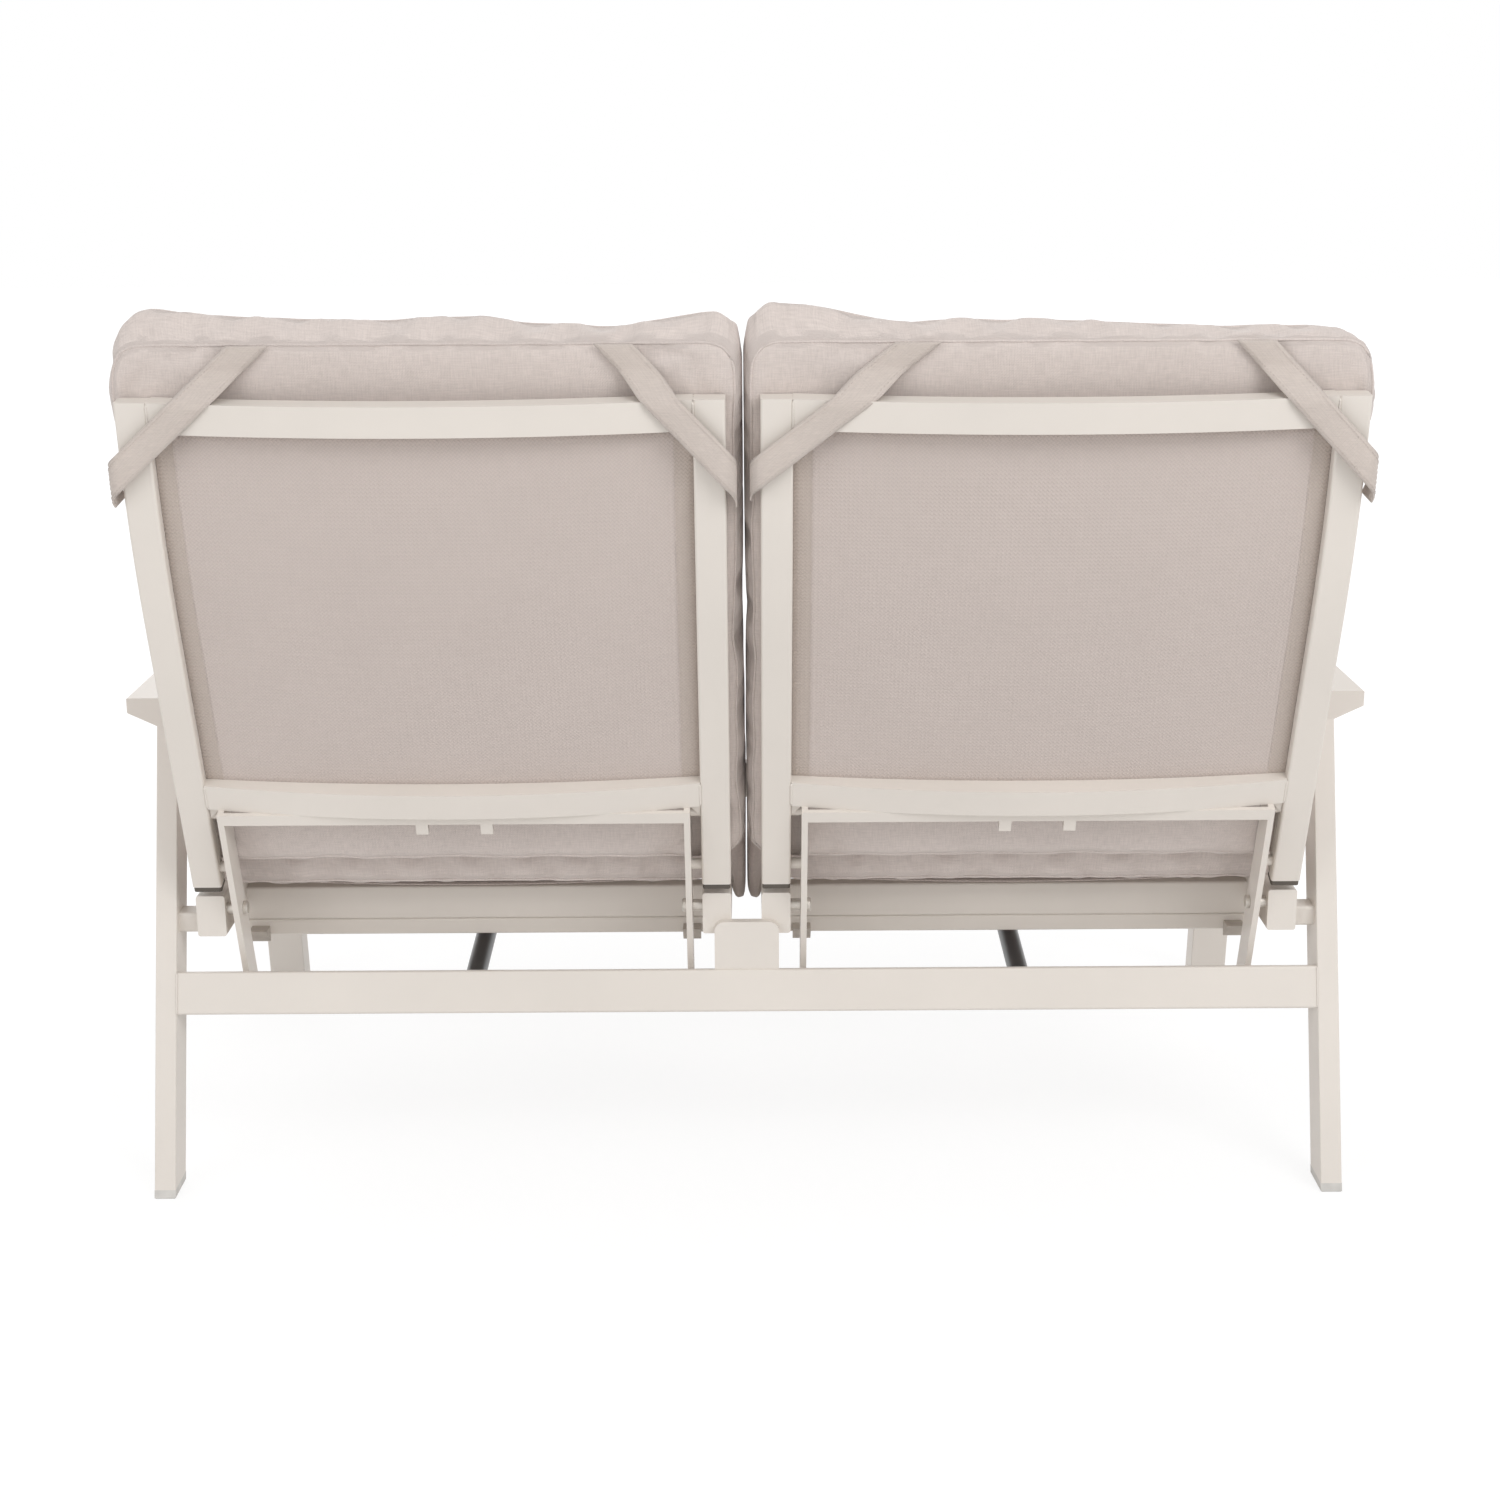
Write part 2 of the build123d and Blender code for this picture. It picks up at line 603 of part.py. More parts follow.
def pivot_bolt(rail_face_x, lever_face_x, side):
    """A pivot bolt through the rail, with its running spacer, and a head on the lever."""
    far_x = rail_face_x - side * (seat_rail_width - wall - touch_gap)
    tip_x = lever_face_x + side * (lever_thickness + touch_gap)
    shank = x_rod(*sorted((far_x, tip_x)), pivot_y, pivot_z, pivot_bolt_diameter)
    head_x = tip_x + side * pivot_head_height
    head = x_rod(*sorted((tip_x, head_x)), pivot_y, pivot_z, pivot_head_diameter)
    washer_x = lever_face_x - side * touch_gap
    washer = x_rod(*sorted((rail_face_x, washer_x)), pivot_y, pivot_z, pivot_washer_diameter)
    rim = head.edges().sort_by(Axis.X)[-1 if side > 0 else 0]
    return shank + chamfer(rim, pivot_head_height / 4) + washer


def gas_springs(pieces):
    """Cylinder, rod, anchor bracket and release paddle of the right seat, mirrored for the left."""
    pin_y, pin_z = lever_spot(-lever_reach)
    length = math.hypot(pin_y - anchor_y, pin_z - anchor_z)
    forward = Vector(0, (anchor_y - pin_y) / length, (anchor_z - pin_z) / length)
    rear_pin = Vector(seat_mid_x, pin_y, pin_z)
    front_pin = Vector(seat_mid_x, anchor_y, anchor_z)

    def along_plane(origin):
        return Plane(origin=origin, x_dir=(1, 0, 0), z_dir=forward)

    body_start = rear_pin + forward * (eye_diameter / 2 + cylinder_neck - cylinder_edge)
    body = extrude(along_plane(body_start) * Circle(cylinder_diameter / 2), cylinder_length)
    body = chamfer(body.edges().filter_by(GeomType.CIRCLE), cylinder_edge)
    neck_start = rear_pin + forward * (eye_diameter / 2 - cylinder_edge)
    neck = extrude(along_plane(neck_start) * Circle(rod_diameter / 2), cylinder_neck + cylinder_edge)
    half_eye = eye_width / 2
    eye = x_rod(seat_mid_x - half_eye, seat_mid_x + half_eye, pin_y, pin_z, eye_diameter)
    eye_bore = spring_pin_diameter + 2 * open_pivot_clearance
    eye -= x_rod(seat_mid_x - eye_width, seat_mid_x + eye_width, pin_y, pin_z, eye_bore)
    body_end = body_start + forward * cylinder_length
    socket_depth = rod_inside + spring_stroke_room
    socket_radius = rod_diameter / 2 + pivot_clearance
    socket_end = body_end - forward * socket_depth
    socket = extrude(along_plane(socket_end) * Circle(socket_radius), socket_depth + overrun)
    both_sides("spring_cylinder", body + neck + eye - socket, pieces)

    rod_start = body_end - forward * rod_inside
    rod_span = (front_pin - rod_start).length - rod_eye_diameter / 4
    rod = extrude(along_plane(rod_start) * Circle(rod_diameter / 2), rod_span)
    rod_eye = x_rod(seat_mid_x - half_eye, seat_mid_x + half_eye, anchor_y, anchor_z, rod_eye_diameter)
    pin_bore = x_rod(
        seat_mid_x - eye_width, seat_mid_x + eye_width, anchor_y, anchor_z,
        spring_pin_diameter + 2 * pivot_clearance)
    both_sides("spring_rod", rod + rod_eye - pin_bore, pieces)

    paddle_y = anchor_y - paddle_pivot_forward
    paddle_z = anchor_z + paddle_pivot_rise
    plate_rear_y = anchor_y + anchor_plate_width / 2
    plate_front_y = paddle_y - anchor_plate_width / 2
    plate_top_z = seat_base_z - cross_tube_height
    half_gap = clevis_gap / 2
    pin_reach = half_gap + clevis_plate
    outline = [
        (plate_rear_y, plate_top_z), (plate_rear_y, anchor_z), (anchor_y, anchor_z - anchor_plate_width / 2),
        (paddle_y, anchor_z - anchor_plate_width / 3), (plate_front_y, paddle_z), (plate_front_y, plate_top_z)]
    bracket = x_rod(seat_mid_x - pin_reach, seat_mid_x + pin_reach, anchor_y, anchor_z, spring_pin_diameter)
    bracket += x_rod(seat_mid_x - pin_reach, seat_mid_x + pin_reach, paddle_y, paddle_z, paddle_pin_diameter)
    for side in (-1, 1):
        plate_low = seat_mid_x + (half_gap if side > 0 else -half_gap - clevis_plate)
        bracket += side_prism(outline, plate_low, plate_low + clevis_plate)
        head_low = seat_mid_x + (pin_reach if side > 0 else -pin_reach - pin_head_height)
        bracket += x_rod(head_low, head_low + pin_head_height, anchor_y, anchor_z, pin_head_diameter)
    pieces["spring_brackets"] = with_mirrors([bracket])

    half_bar = paddle_width / 2
    boss = x_rod(seat_mid_x - half_bar, seat_mid_x + half_bar, paddle_y, paddle_z, paddle_boss)
    arm_low = paddle_z - paddle_thickness / 2
    end_z = arm_low + paddle_rise
    bend_y = plate_front_y - anchor_plate_width
    arm = side_prism([
        (paddle_y, arm_low), (bend_y, arm_low), (paddle_end_y, end_z),
        (paddle_end_y, end_z + paddle_thickness), (bend_y, arm_low + paddle_thickness),
        (paddle_y, arm_low + paddle_thickness)], seat_mid_x - half_bar, seat_mid_x + half_bar)
    grip_mid = (seat_mid_x, paddle_end_y - grip_length / 2 + overrun, end_z + paddle_thickness / 2)
    grip = Location(grip_mid) * Box(grip_width, grip_length, grip_thickness)
    grip = fillet(grip.edges().filter_by(Axis.X), grip_thickness / 3)
    bore = x_rod(seat_mid_x - paddle_width, seat_mid_x + paddle_width, paddle_y, paddle_z,
                 paddle_pin_diameter + 2 * pivot_clearance)
    both_sides("release_paddle", boss + arm + grip - bore, pieces)


def pillow_section(plane, x_low, x_high, thickness, crown, side_draw):
    """One slice of a cushion: flat underside, drawn-in sides and a crowned top."""
    x_mid = (x_low + x_high) / 2
    corner = min(cushion_corner, thickness / 3)
    side_mid = thickness / 2
    low_left = (x_low + corner, 0)
    low_right = (x_high - corner, 0)
    right_low = (x_high, corner)
    right_high = (x_high, thickness - corner)
    top_right = (x_high - corner, thickness)
    top_left = (x_low + corner, thickness)
    left_high = (x_low, thickness - corner)
    left_low = (x_low, corner)
    soft = corner * (1 - math.sqrt(0.5))
    outline = [
        Line(low_left, low_right),
        ThreePointArc(low_right, (x_high - soft, soft), right_low),
        ThreePointArc(right_low, (x_high - side_draw, side_mid), right_high),
        ThreePointArc(right_high, (x_high - soft, thickness - soft), top_right),
        ThreePointArc(top_right, (x_mid, crown), top_left),
        ThreePointArc(top_left, (x_low + soft, thickness - soft), left_high),
        ThreePointArc(left_high, (x_low + side_draw, side_mid), left_low),
        ThreePointArc(left_low, (x_low + soft, soft), low_left)]
    return plane * make_face(outline)


def cushions(pieces):
    """Seat and back cushions of the right seat, lofted through slices, mirrored for the left."""
    low_x = seat_cushion_gap
    high_x = seat_outer_x - seat_cushion_outer_gap
    span = seat_cushion_rear_y - seat_cushion_front_y
    slices = []
    for share, edge_share, crown_share, draw_share in seat_slice_shares:
        edge = seat_cushion_rear_edge + (seat_cushion_edge - seat_cushion_rear_edge) * edge_share
        crown = edge + touch_gap + (seat_cushion_crown - seat_cushion_edge) * crown_share
        draw = seat_cushion_draw * draw_share
        plane = Plane(
            origin=(0, seat_cushion_rear_y - span * share, seat_top_z + touch_gap),
            x_dir=(-1, 0, 0), z_dir=(0, 1, 0))
        slices.append(pillow_section(plane, -high_x + draw, -low_x - draw, edge, crown, draw))
    both_sides("seat_cushion", loft(slices), pieces)

    low_x = back_cushion_inner
    high_x = seat_outer_x + back_cushion_overhang
    span = back_cushion_end - back_cushion_start
    slices = []
    for share, edge_share, crown_share, draw_share in back_slice_shares:
        edge = back_cushion_edge * edge_share
        crown = edge + touch_gap + (back_cushion_crown - back_cushion_edge) * crown_share
        draw = back_cushion_draw * draw_share
        y, z, lean = back_spot(back_cushion_start + span * share, stile_depth + cushion_gap)
        down = (0, -math.sin(math.radians(lean)), -math.cos(math.radians(lean)))
        plane = Plane(origin=(0, y, z), x_dir=(1, 0, 0), z_dir=down)
        slices.append(pillow_section(plane, low_x + draw, high_x - draw, edge, crown, draw))
    both_sides("back_cushion", loft(slices), pieces)


def straps(pieces):
    """Two flat straps over the top corners of the right back, mirrored for the left."""
    lean = math.radians(back_lean - stile_bend)
    rear = (0, math.cos(lean), -math.sin(lean))
    y, z, _ = back_spot(stile_length, 0)
    plane = Plane(origin=(seat_mid_x, y, z), x_dir=(-1, 0, 0), z_dir=rear)
    sheet = bent_sheet(seat_width)
    bands = []
    for side in (-1, 1):
        out = seat_width / 2 + touch_gap
        low = (side * out, -strap_side_drop)
        high = (side * (seat_width / 2 - strap_top_inset), strap_top_rise)
        band = diagonal_prism(low, high) & sheet
        wrap_mid = (side * (out + strap_thickness / 2), -strap_side_drop,
                    strap_rail_room + strap_thickness - strap_wrap / 2)
        band += Location(wrap_mid) * Box(strap_thickness, strap_width, strap_wrap)
        bands.append(plane.location * band)
    both_sides("corner_straps", group(bands), pieces)


def bent_sheet(width):
    """A sheet down the rear of the top rail, bent forward over it and up the cushion's back."""
    cushion_depth = -stile_depth - cushion_gap + touch_gap
    top = strap_top_rise + strap_width
    rail_depth = strap_rail_room
    front = [
        (rail_depth, -strap_side_drop - strap_width), (rail_depth, strap_bend_start),
        (cushion_depth, strap_bend_rise), (cushion_depth, top)]
    miter = strap_thickness * strap_miter
    rear = [
        (cushion_depth + strap_thickness, top), (cushion_depth + strap_thickness, strap_bend_rise + miter),
        (rail_depth + strap_thickness, strap_bend_start + miter),
        (rail_depth + strap_thickness, -strap_side_drop - strap_width)]
    face = make_face(Polyline(*[(0, along, depth) for depth, along in front + rear], close=True))
    sheet = extrude(face, width, dir=(1, 0, 0)) + extrude(face, width, dir=(-1, 0, 0))
    return sheet


def diagonal_prism(low, high):
    """A deep prism over a band from low to high, given as (across, up from the stiles' top)."""
    length = math.hypot(high[0] - low[0], high[1] - low[1])
    half = strap_width / 2
    across = ((high[1] - low[1]) / length * half, (low[0] - high[0]) / length * half)
    corners = [
        (low[0] - across[0], low[1] - across[1]), (low[0] + across[0], low[1] + across[1]),
        (high[0] + across[0], high[1] + across[1]), (high[0] - across[0], high[1] - across[1])]
    return extrude(make_face(Polyline(*corners, close=True)), 2 * stile_depth, both=True)


def build():
    pieces = {}
    side_frames(pieces)
    base_members(pieces)
    seat_frame(pieces)
    back_frame(pieces)
    levers(pieces)
    gas_springs(pieces)
    cushions(pieces)
    straps(pieces)
    return pieces


pieces = build()
whole = group(pieces.values()).bounding_box()
to_origin = Location((0, -(whole.min.Y + whole.max.Y) / 2, -whole.min.Z))
for name, shape in pieces.items():
    export_step(Compound([solid.moved(to_origin) for solid in shape.solids()]), "parts/" + name + ".step")
print("size", whole.size, "moved", to_origin.position)
print("pivots at y", pivot_y, "z", pivot_z, "gas spring from", lever_spot(-lever_reach), "to", (anchor_y, anchor_z))
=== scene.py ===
import math

import bpy
import numpy as np
from mathutils import Matrix, Vector


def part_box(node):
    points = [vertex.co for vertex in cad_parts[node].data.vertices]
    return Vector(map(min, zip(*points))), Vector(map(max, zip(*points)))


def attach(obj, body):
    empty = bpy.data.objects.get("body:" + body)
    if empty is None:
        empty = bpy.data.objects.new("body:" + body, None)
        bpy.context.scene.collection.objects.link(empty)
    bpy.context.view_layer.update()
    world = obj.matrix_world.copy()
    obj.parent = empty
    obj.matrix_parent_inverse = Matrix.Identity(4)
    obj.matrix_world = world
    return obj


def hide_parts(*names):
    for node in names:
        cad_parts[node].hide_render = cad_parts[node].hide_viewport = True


# Sizes in metres, the same as the frame's
BACK_START = (-0.084, 0.358)
BACK_LEAN = math.radians(20.6)
STRAIGHT = 0.355
BEND_RADIUS = 1.110
STILE_LENGTH = STRAIGHT + BEND_RADIUS * math.radians(13.6)
STILE_DEPTH = 0.025
SEAT_MID = 0.334
SEAT_HALF = 0.316
RAIL_WIDTH = 0.034
SLING_BOW = 0.013
SEAT_TOP = 0.344
CLEAR_HALF = SEAT_HALF - RAIL_WIDTH
LEG_LEAN = math.radians(17.4)

# A cushion's cover: cells along a side of a panel, and rows in the strip between the panels
CELLS = 76
STRIP_ROWS = 9
CLOTH_FRAMES = 20
SWELL_LIMIT = 0.024
PIPING_RADIUS = 0.0015
TUBE_SIDES = 8

# How far up a cushion, how much of its edge height, and how much of its crown it has there
SEAT_SHARES = ((0.0, 0.0, 0.0), (0.06, 0.45, 0.25), (0.25, 0.95, 0.85), (0.5, 1.0, 1.0),
               (0.75, 1.0, 0.9), (0.94, 0.85, 0.5), (1.0, 0.45, 0.15))
BACK_SHARES = ((0.0, 0.45, 0.05), (0.05, 0.8, 0.35), (0.2, 0.98, 0.9), (0.36, 1.0, 1.0),
               (0.48, 1.0, 1.0), (0.6, 1.0, 0.98), (0.72, 1.0, 0.93), (0.84, 0.98, 0.82),
               (0.95, 0.85, 0.45), (1.0, 0.5, 0.1))

# The seat cushion's sides hang below the rails inside INNER_HANG and outside OUTER_HANG
INNER_HANG = 0.0172
OUTER_HANG = 0.6505
HANG_START = 0.03
HANG_LEAST = 0.027
HANG_MORE = 0.055

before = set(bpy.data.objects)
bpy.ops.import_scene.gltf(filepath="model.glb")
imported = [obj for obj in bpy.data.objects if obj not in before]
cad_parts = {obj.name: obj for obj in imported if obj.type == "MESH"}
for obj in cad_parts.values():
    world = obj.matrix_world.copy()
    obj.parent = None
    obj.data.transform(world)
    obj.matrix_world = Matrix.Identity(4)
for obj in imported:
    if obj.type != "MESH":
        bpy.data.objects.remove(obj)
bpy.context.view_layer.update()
# The rear feet's heels, a little forward of the caps' edge, are where every Y below starts
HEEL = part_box("foot_caps")[1].y + 0.000376


def clamp(value):
    return min(1.0, max(0.0, value))


def between(knots, where, column=1):
    """The value between a table's rows, which are led by the place that each belongs to."""
    return np.interp(where, [knot[0] for knot in knots], [knot[column] for knot in knots])


def ring_points(centre, a, b, radius, sides=TUBE_SIDES):
    """Points round a centre, in the plane of two unit vectors."""
    turns = [2 * math.pi * k / sides for k in range(sides)]
    return [centre + (a * math.cos(turn) + b * math.sin(turn)) * radius for turn in turns]


def tube_faces(first, second, sides=TUBE_SIDES):
    """The faces between two rings of points, which start at these numbers."""
    return [(first + k, second + k, second + (k + 1) % sides, first + (k + 1) % sides) for k in range(sides)]


# ---- materials ----

class Tree:
    """A node tree with short ways to add a node and to join it up."""

    def __init__(self, owner):
        owner.use_nodes = True
        self.nodes, self.links = owner.node_tree.nodes, owner.node_tree.links

    def node(self, kind, **inputs):
        made = self.nodes.new(kind)
        for key, value in inputs.items():
            made.inputs[key.replace("_", " ")].default_value = value
        return made

    def math(self, operation, a, b=None):
        made = self.nodes.new("ShaderNodeMath")
        made.operation = operation
        for slot, value in enumerate((a, b)):
            if value is None:
                continue
            if isinstance(value, (int, float)):
                made.inputs[slot].default_value = value
            else:
                self.links.new(value, made.inputs[slot])
        return made.outputs[0]

    def scaled(self, value, by, start):
        return self.math("ADD", self.math("MULTIPLY", value, by), start)

    def mix_shaders(self, share, first, second):
        mix = self.nodes.new("ShaderNodeMixShader")
        for slot, value in enumerate((share, first, second)):
            self.links.new(value, mix.inputs[slot])
        return mix.outputs[0]

    def light_path_white(self, shown, plain):
        """Shows one shader to the camera and mirror-like rays, and the other to the rest."""
        path = self.nodes.new("ShaderNodeLightPath")
        seen = self.math("MAXIMUM", path.outputs["Is Camera Ray"], path.outputs["Is Glossy Ray"])
        seen = self.math("MAXIMUM", seen, path.outputs["Is Transmission Ray"])
        return self.mix_shaders(seen, plain, shown)


class Skin(Tree):
    """A material whose colour, roughness and relief come from procedural textures."""

    def __init__(self, name, color, roughness, coordinates, **more):
        self.material = bpy.data.materials.new(name)
        super().__init__(self.material)
        self.color, self.roughness = color, roughness
        self.bsdf = self.nodes["Principled BSDF"]
        self.bsdf.inputs["Base Color"].default_value = (*color, 1)
        self.bsdf.inputs["Roughness"].default_value = roughness
        for key, value in more.items():
            self.bsdf.inputs[key.replace("_", " ")].default_value = value
        self.material.diffuse_color = (*color, 1)
        self.coords = self.nodes.new("ShaderNodeTexCoord").outputs[coordinates]

    def noise(self, scale, detail=3.0, rough=0.6):
        mapping = self.nodes.new("ShaderNodeMapping")
        mapping.inputs["Scale"].default_value = scale
        self.links.new(self.coords, mapping.inputs["Vector"])
        made = self.node("ShaderNodeTexNoise", Scale=1.0, Detail=detail, Roughness=rough)
        self.links.new(mapping.outputs[0], made.inputs["Vector"])
        return made.outputs["Fac"]

    def shade(self, value, low, high, darker, lighter):
        """A colour from darker to lighter than the skin's own as the value rises."""
        made = self.nodes.new("ShaderNodeValToRGB")
        for element, position, factor in zip(made.color_ramp.elements, (low, high), (darker, lighter)):
            element.position = position
            element.color = (*(min(1.0, channel * factor) for channel in self.color), 1)
        self.links.new(value, made.inputs[0])
        return made.outputs[0]

    def finish(self, shade, roughness_from, roughness_change):
        self.links.new(shade, self.bsdf.inputs["Base Color"])
        rough = self.scaled(roughness_from, roughness_change, self.roughness - roughness_change / 2)
        self.links.new(rough, self.bsdf.inputs["Roughness"])

    def bump(self, height, strength, distance, under=None):
        made = self.node("ShaderNodeBump", Strength=strength, Distance=distance)
        self.links.new(height, made.inputs["Height"])
        if under is not None:
            self.links.new(under, made.inputs["Normal"])
        self.links.new(made.outputs[0], self.bsdf.inputs["Normal"])
        return made.outputs[0]

    def split(self, vector):
        made = self.nodes.new("ShaderNodeSeparateXYZ")
        self.links.new(vector, made.inputs[0])
        return made.outputs

    def threads(self, coords, pitch):
        """Over-and-under threads of a plain weave, from metric surface coordinates."""
        axes = self.split(coords)
        waves = []
        for axis in (0, 1):
            turned = self.math("MULTIPLY", axes[axis], math.pi / pitch)
            waves.append(self.math("SINE", turned))
        crossed = self.math("MULTIPLY", waves[0], waves[1])
        over = self.math("GREATER_THAN", crossed, 0.0)
        under = self.math("SUBTRACT", 1.0, over)
        warp = self.math("MULTIPLY", self.math("ABSOLUTE", waves[0]), over)
        weft = self.math("MULTIPLY", self.math("ABSOLUTE", waves[1]), under)
        return self.math("ADD", warp, weft)

    def turned(self, angle):
        mapping = self.nodes.new("ShaderNodeMapping")
        mapping.inputs["Rotation"].default_value = (0, 0, angle)
        self.links.new(self.coords, mapping.inputs["Vector"])
        return mapping.outputs[0]

    def paint_hem_shade(self, shade, reach, factor):
        """Darkens what lies further than this from the middle: partly the double layer of the hems, partly
        painted shade cast by the stiles beside it.
        """
        hem_shade_band = self.math("GREATER_THAN", self.math("ABSOLUTE", self.split(self.coords)[0]), reach)
        deeper = self.nodes.new("ShaderNodeMixRGB")
        deeper.blend_type = "MULTIPLY"
        deeper.inputs[2].default_value = (*factor, 1)
        self.links.new(hem_shade_band, deeper.inputs[0])
        self.links.new(shade, deeper.inputs[1])
        return deeper.outputs[0]


def woven(name, color, pitch, slub, depth, contrast, roughness=0.9, gap=0.0, turned=False, slubs=1.0,
          hem=0.0):
    """Cloth with slubs both ways; an open mesh where it has a gap, and a darker band beyond the given place,
    partly its hems' double layer and partly painted shade from the stiles.
    """
    skin = Skin(name, color, roughness, "UV", Sheen_Weight=0.25, Sheen_Roughness=0.6, Specular_IOR_Level=0.2)
    across = skin.noise((slub, slub * 11, 1))
    along = skin.noise((slub * 11, slub, 1))
    cloudy = skin.noise((9, 9, 1), 2.0, 0.5)
    mixed = skin.scaled(skin.math("ADD", across, along), 0.42 * slubs, 0.42 * (1 - slubs))
    mixed = skin.math("ADD", mixed, skin.math("MULTIPLY", cloudy, 0.16))
    weave = skin.turned(math.radians(45)) if turned else skin.coords
    threads = skin.threads(weave, pitch)
    if gap:
        mixed = skin.math("ADD", mixed, skin.math("MULTIPLY", threads, gap))
    shade = skin.shade(mixed, 0.36, 0.36 + 0.28 + gap, 1 - contrast, 1 + contrast * 0.6)
    # Darker band by the stiles: partly the hems' double layer, partly painted shade.
    if hem:
        shade = skin.paint_hem_shade(shade, hem, (0.90, 0.89, 0.86))
    skin.finish(shade, mixed, 0.12)
    first = skin.bump(threads, 0.55, depth)
    skin.bump(mixed, 0.35, depth * 1.6, under=first)
    return skin.material


def coated_metal(name, color):
    """Powder coat: a faint orange peel with a fine grain over it."""
    skin = Skin(name, color, 0.43, "Object", Specular_IOR_Level=0.45)
    cloudy = skin.noise((7, 7, 7), 3.0, 0.5)
    grain = skin.noise((1500, 1500, 1500), 2.0, 0.6)
    peel = skin.noise((260, 260, 260), 1.0, 0.5)
    skin.finish(skin.shade(cloudy, 0.3, 0.7, 0.975, 1.015), cloudy, 0.10)
    first = skin.bump(peel, 0.12, 0.0004)
    skin.bump(grain, 0.25, 0.00012, under=first)
    return skin.material


def moulded(name, color, roughness, grain_scale=700, depth=0.00015):
    skin = Skin(name, color, roughness, "Object")
    grain = skin.noise((grain_scale,) * 3, 2.0, 0.6)
    cloudy = skin.noise((40, 40, 40), 2.0, 0.5)
    skin.finish(skin.shade(cloudy, 0.3, 0.7, 0.88, 1.12), cloudy, 0.12)
    skin.bump(grain, 0.4, depth)
    return skin.material


def bare_metal(name, color, roughness, stretch):
    skin = Skin(name, color, roughness, "Object", Metallic=1.0)
    lines = skin.noise(stretch, 3.0, 0.6)
    skin.finish(skin.shade(lines, 0.3, 0.7, 0.9, 1.08), lines, 0.14)
    skin.bump(lines, 0.12, 0.00006)
    return skin.material


FRAME = coated_metal("frame_coat", (0.765, 0.712, 0.655))
CUSHION = woven("cushion_cloth", (0.705, 0.625, 0.585), 0.0016, 60, 0.00035, 0.13)
STRAP = woven("strap_cloth", (0.64, 0.565, 0.515), 0.0014, 80, 0.0003, 0.12)
THREAD = moulded("thread", (0.60, 0.53, 0.485), 0.8, 2500, 0.0001)
# The sling's darker band by each stile is partly its hems and partly painted shade from the stiles.
SLING = woven("sling_weave", (0.605, 0.525, 0.487), 0.0032, 26, 0.0005, 0.15, roughness=0.7, gap=0.34,
              turned=True, slubs=0.35, hem=0.262)
DARK = moulded("dark_plastic", (0.10, 0.085, 0.07), 0.55)
FOOT = moulded("foot_plastic", (0.62, 0.60, 0.57), 0.55)
RUBBER = moulded("stop_rubber", (0.50, 0.45, 0.40), 0.75)
STEEL = bare_metal("steel", (0.66, 0.62, 0.57), 0.48, (300, 300, 300))
SPRING = moulded("spring_black", (0.022, 0.022, 0.023), 0.3, 1200, 0.00004)
CHROME = bare_metal("rod_chrome", (0.72, 0.72, 0.73), 0.14, (900, 40, 900))

SKINS = {"foot_caps": FOOT, "lever_stops": RUBBER, "pivot_bolts": STEEL, "spring_cylinder": SPRING,
         "spring_rod": CHROME, "stile_caps": DARK, "release_paddle": DARK}
for name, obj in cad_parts.items():
    obj.data.materials.clear()
    obj.data.materials.append(SKINS.get(name.replace("left_", "").replace("right_", ""), FRAME))


# ---- places on the backs ----

def back_spot(along, forward):
    """Y from the heel, Z and lean at a distance up the stiles' rear face and forward of it."""
    lean = BACK_LEAN
    y = BACK_START[0] + min(along, STRAIGHT) * math.sin(lean)
    z = BACK_START[1] + min(along, STRAIGHT) * math.cos(lean)
    if along > STRAIGHT:
        cy, cz = y - BEND_RADIUS * math.cos(lean), z + BEND_RADIUS * math.sin(lean)
        lean -= (min(along, STILE_LENGTH) - STRAIGHT) / BEND_RADIUS
        y, z = cy + BEND_RADIUS * math.cos(lean), cz - BEND_RADIUS * math.sin(lean)
    beyond = max(along - STILE_LENGTH, 0)
    y += beyond * math.sin(lean) - forward * math.cos(lean)
    z += beyond * math.cos(lean) + forward * math.sin(lean)
    return y, z, lean


def back_point(x, along, forward):
    y, z, _ = back_spot(along, forward)
    return Vector((x, y + HEEL, z))


def sag(x):
    """How far the bowed sling stands to the rear at x, which is from the seat's middle."""
    return SLING_BOW * max(0.0, 1 - (x / CLEAR_HALF) ** 2)


def new_object(name, verts, faces, material, uvs=None, smooth=True):
    mesh = bpy.data.meshes.new(name)
    mesh.from_pydata([tuple(v) for v in verts], [], faces)
    mesh.update()
    obj = bpy.data.objects.new(name, mesh)
    bpy.context.scene.collection.objects.link(obj)
    mesh.materials.append(material)
    if smooth:
        mesh.polygons.foreach_set("use_smooth", [True] * len(mesh.polygons))
    if uvs is not None:
        layer = mesh.uv_layers.new(name="UVMap")
        flat = np.array([uvs[loop.vertex_index] for loop in mesh.loops], np.float32).ravel()
        layer.data.foreach_set("uv", flat)
    return obj


# ---- cushions ----

def wobble(a, b, seed, scale):
    """Smooth made-up unevenness between about -1 and 1, the same on every run."""
    return (math.sin(a * scale * 1.7 + seed * 1.3) * math.cos(b * scale * 1.1 + seed * 2.1)
            + 0.5 * math.sin(a * scale * 3.1 + b * scale * 2.3 + seed * 0.7)) / 1.5


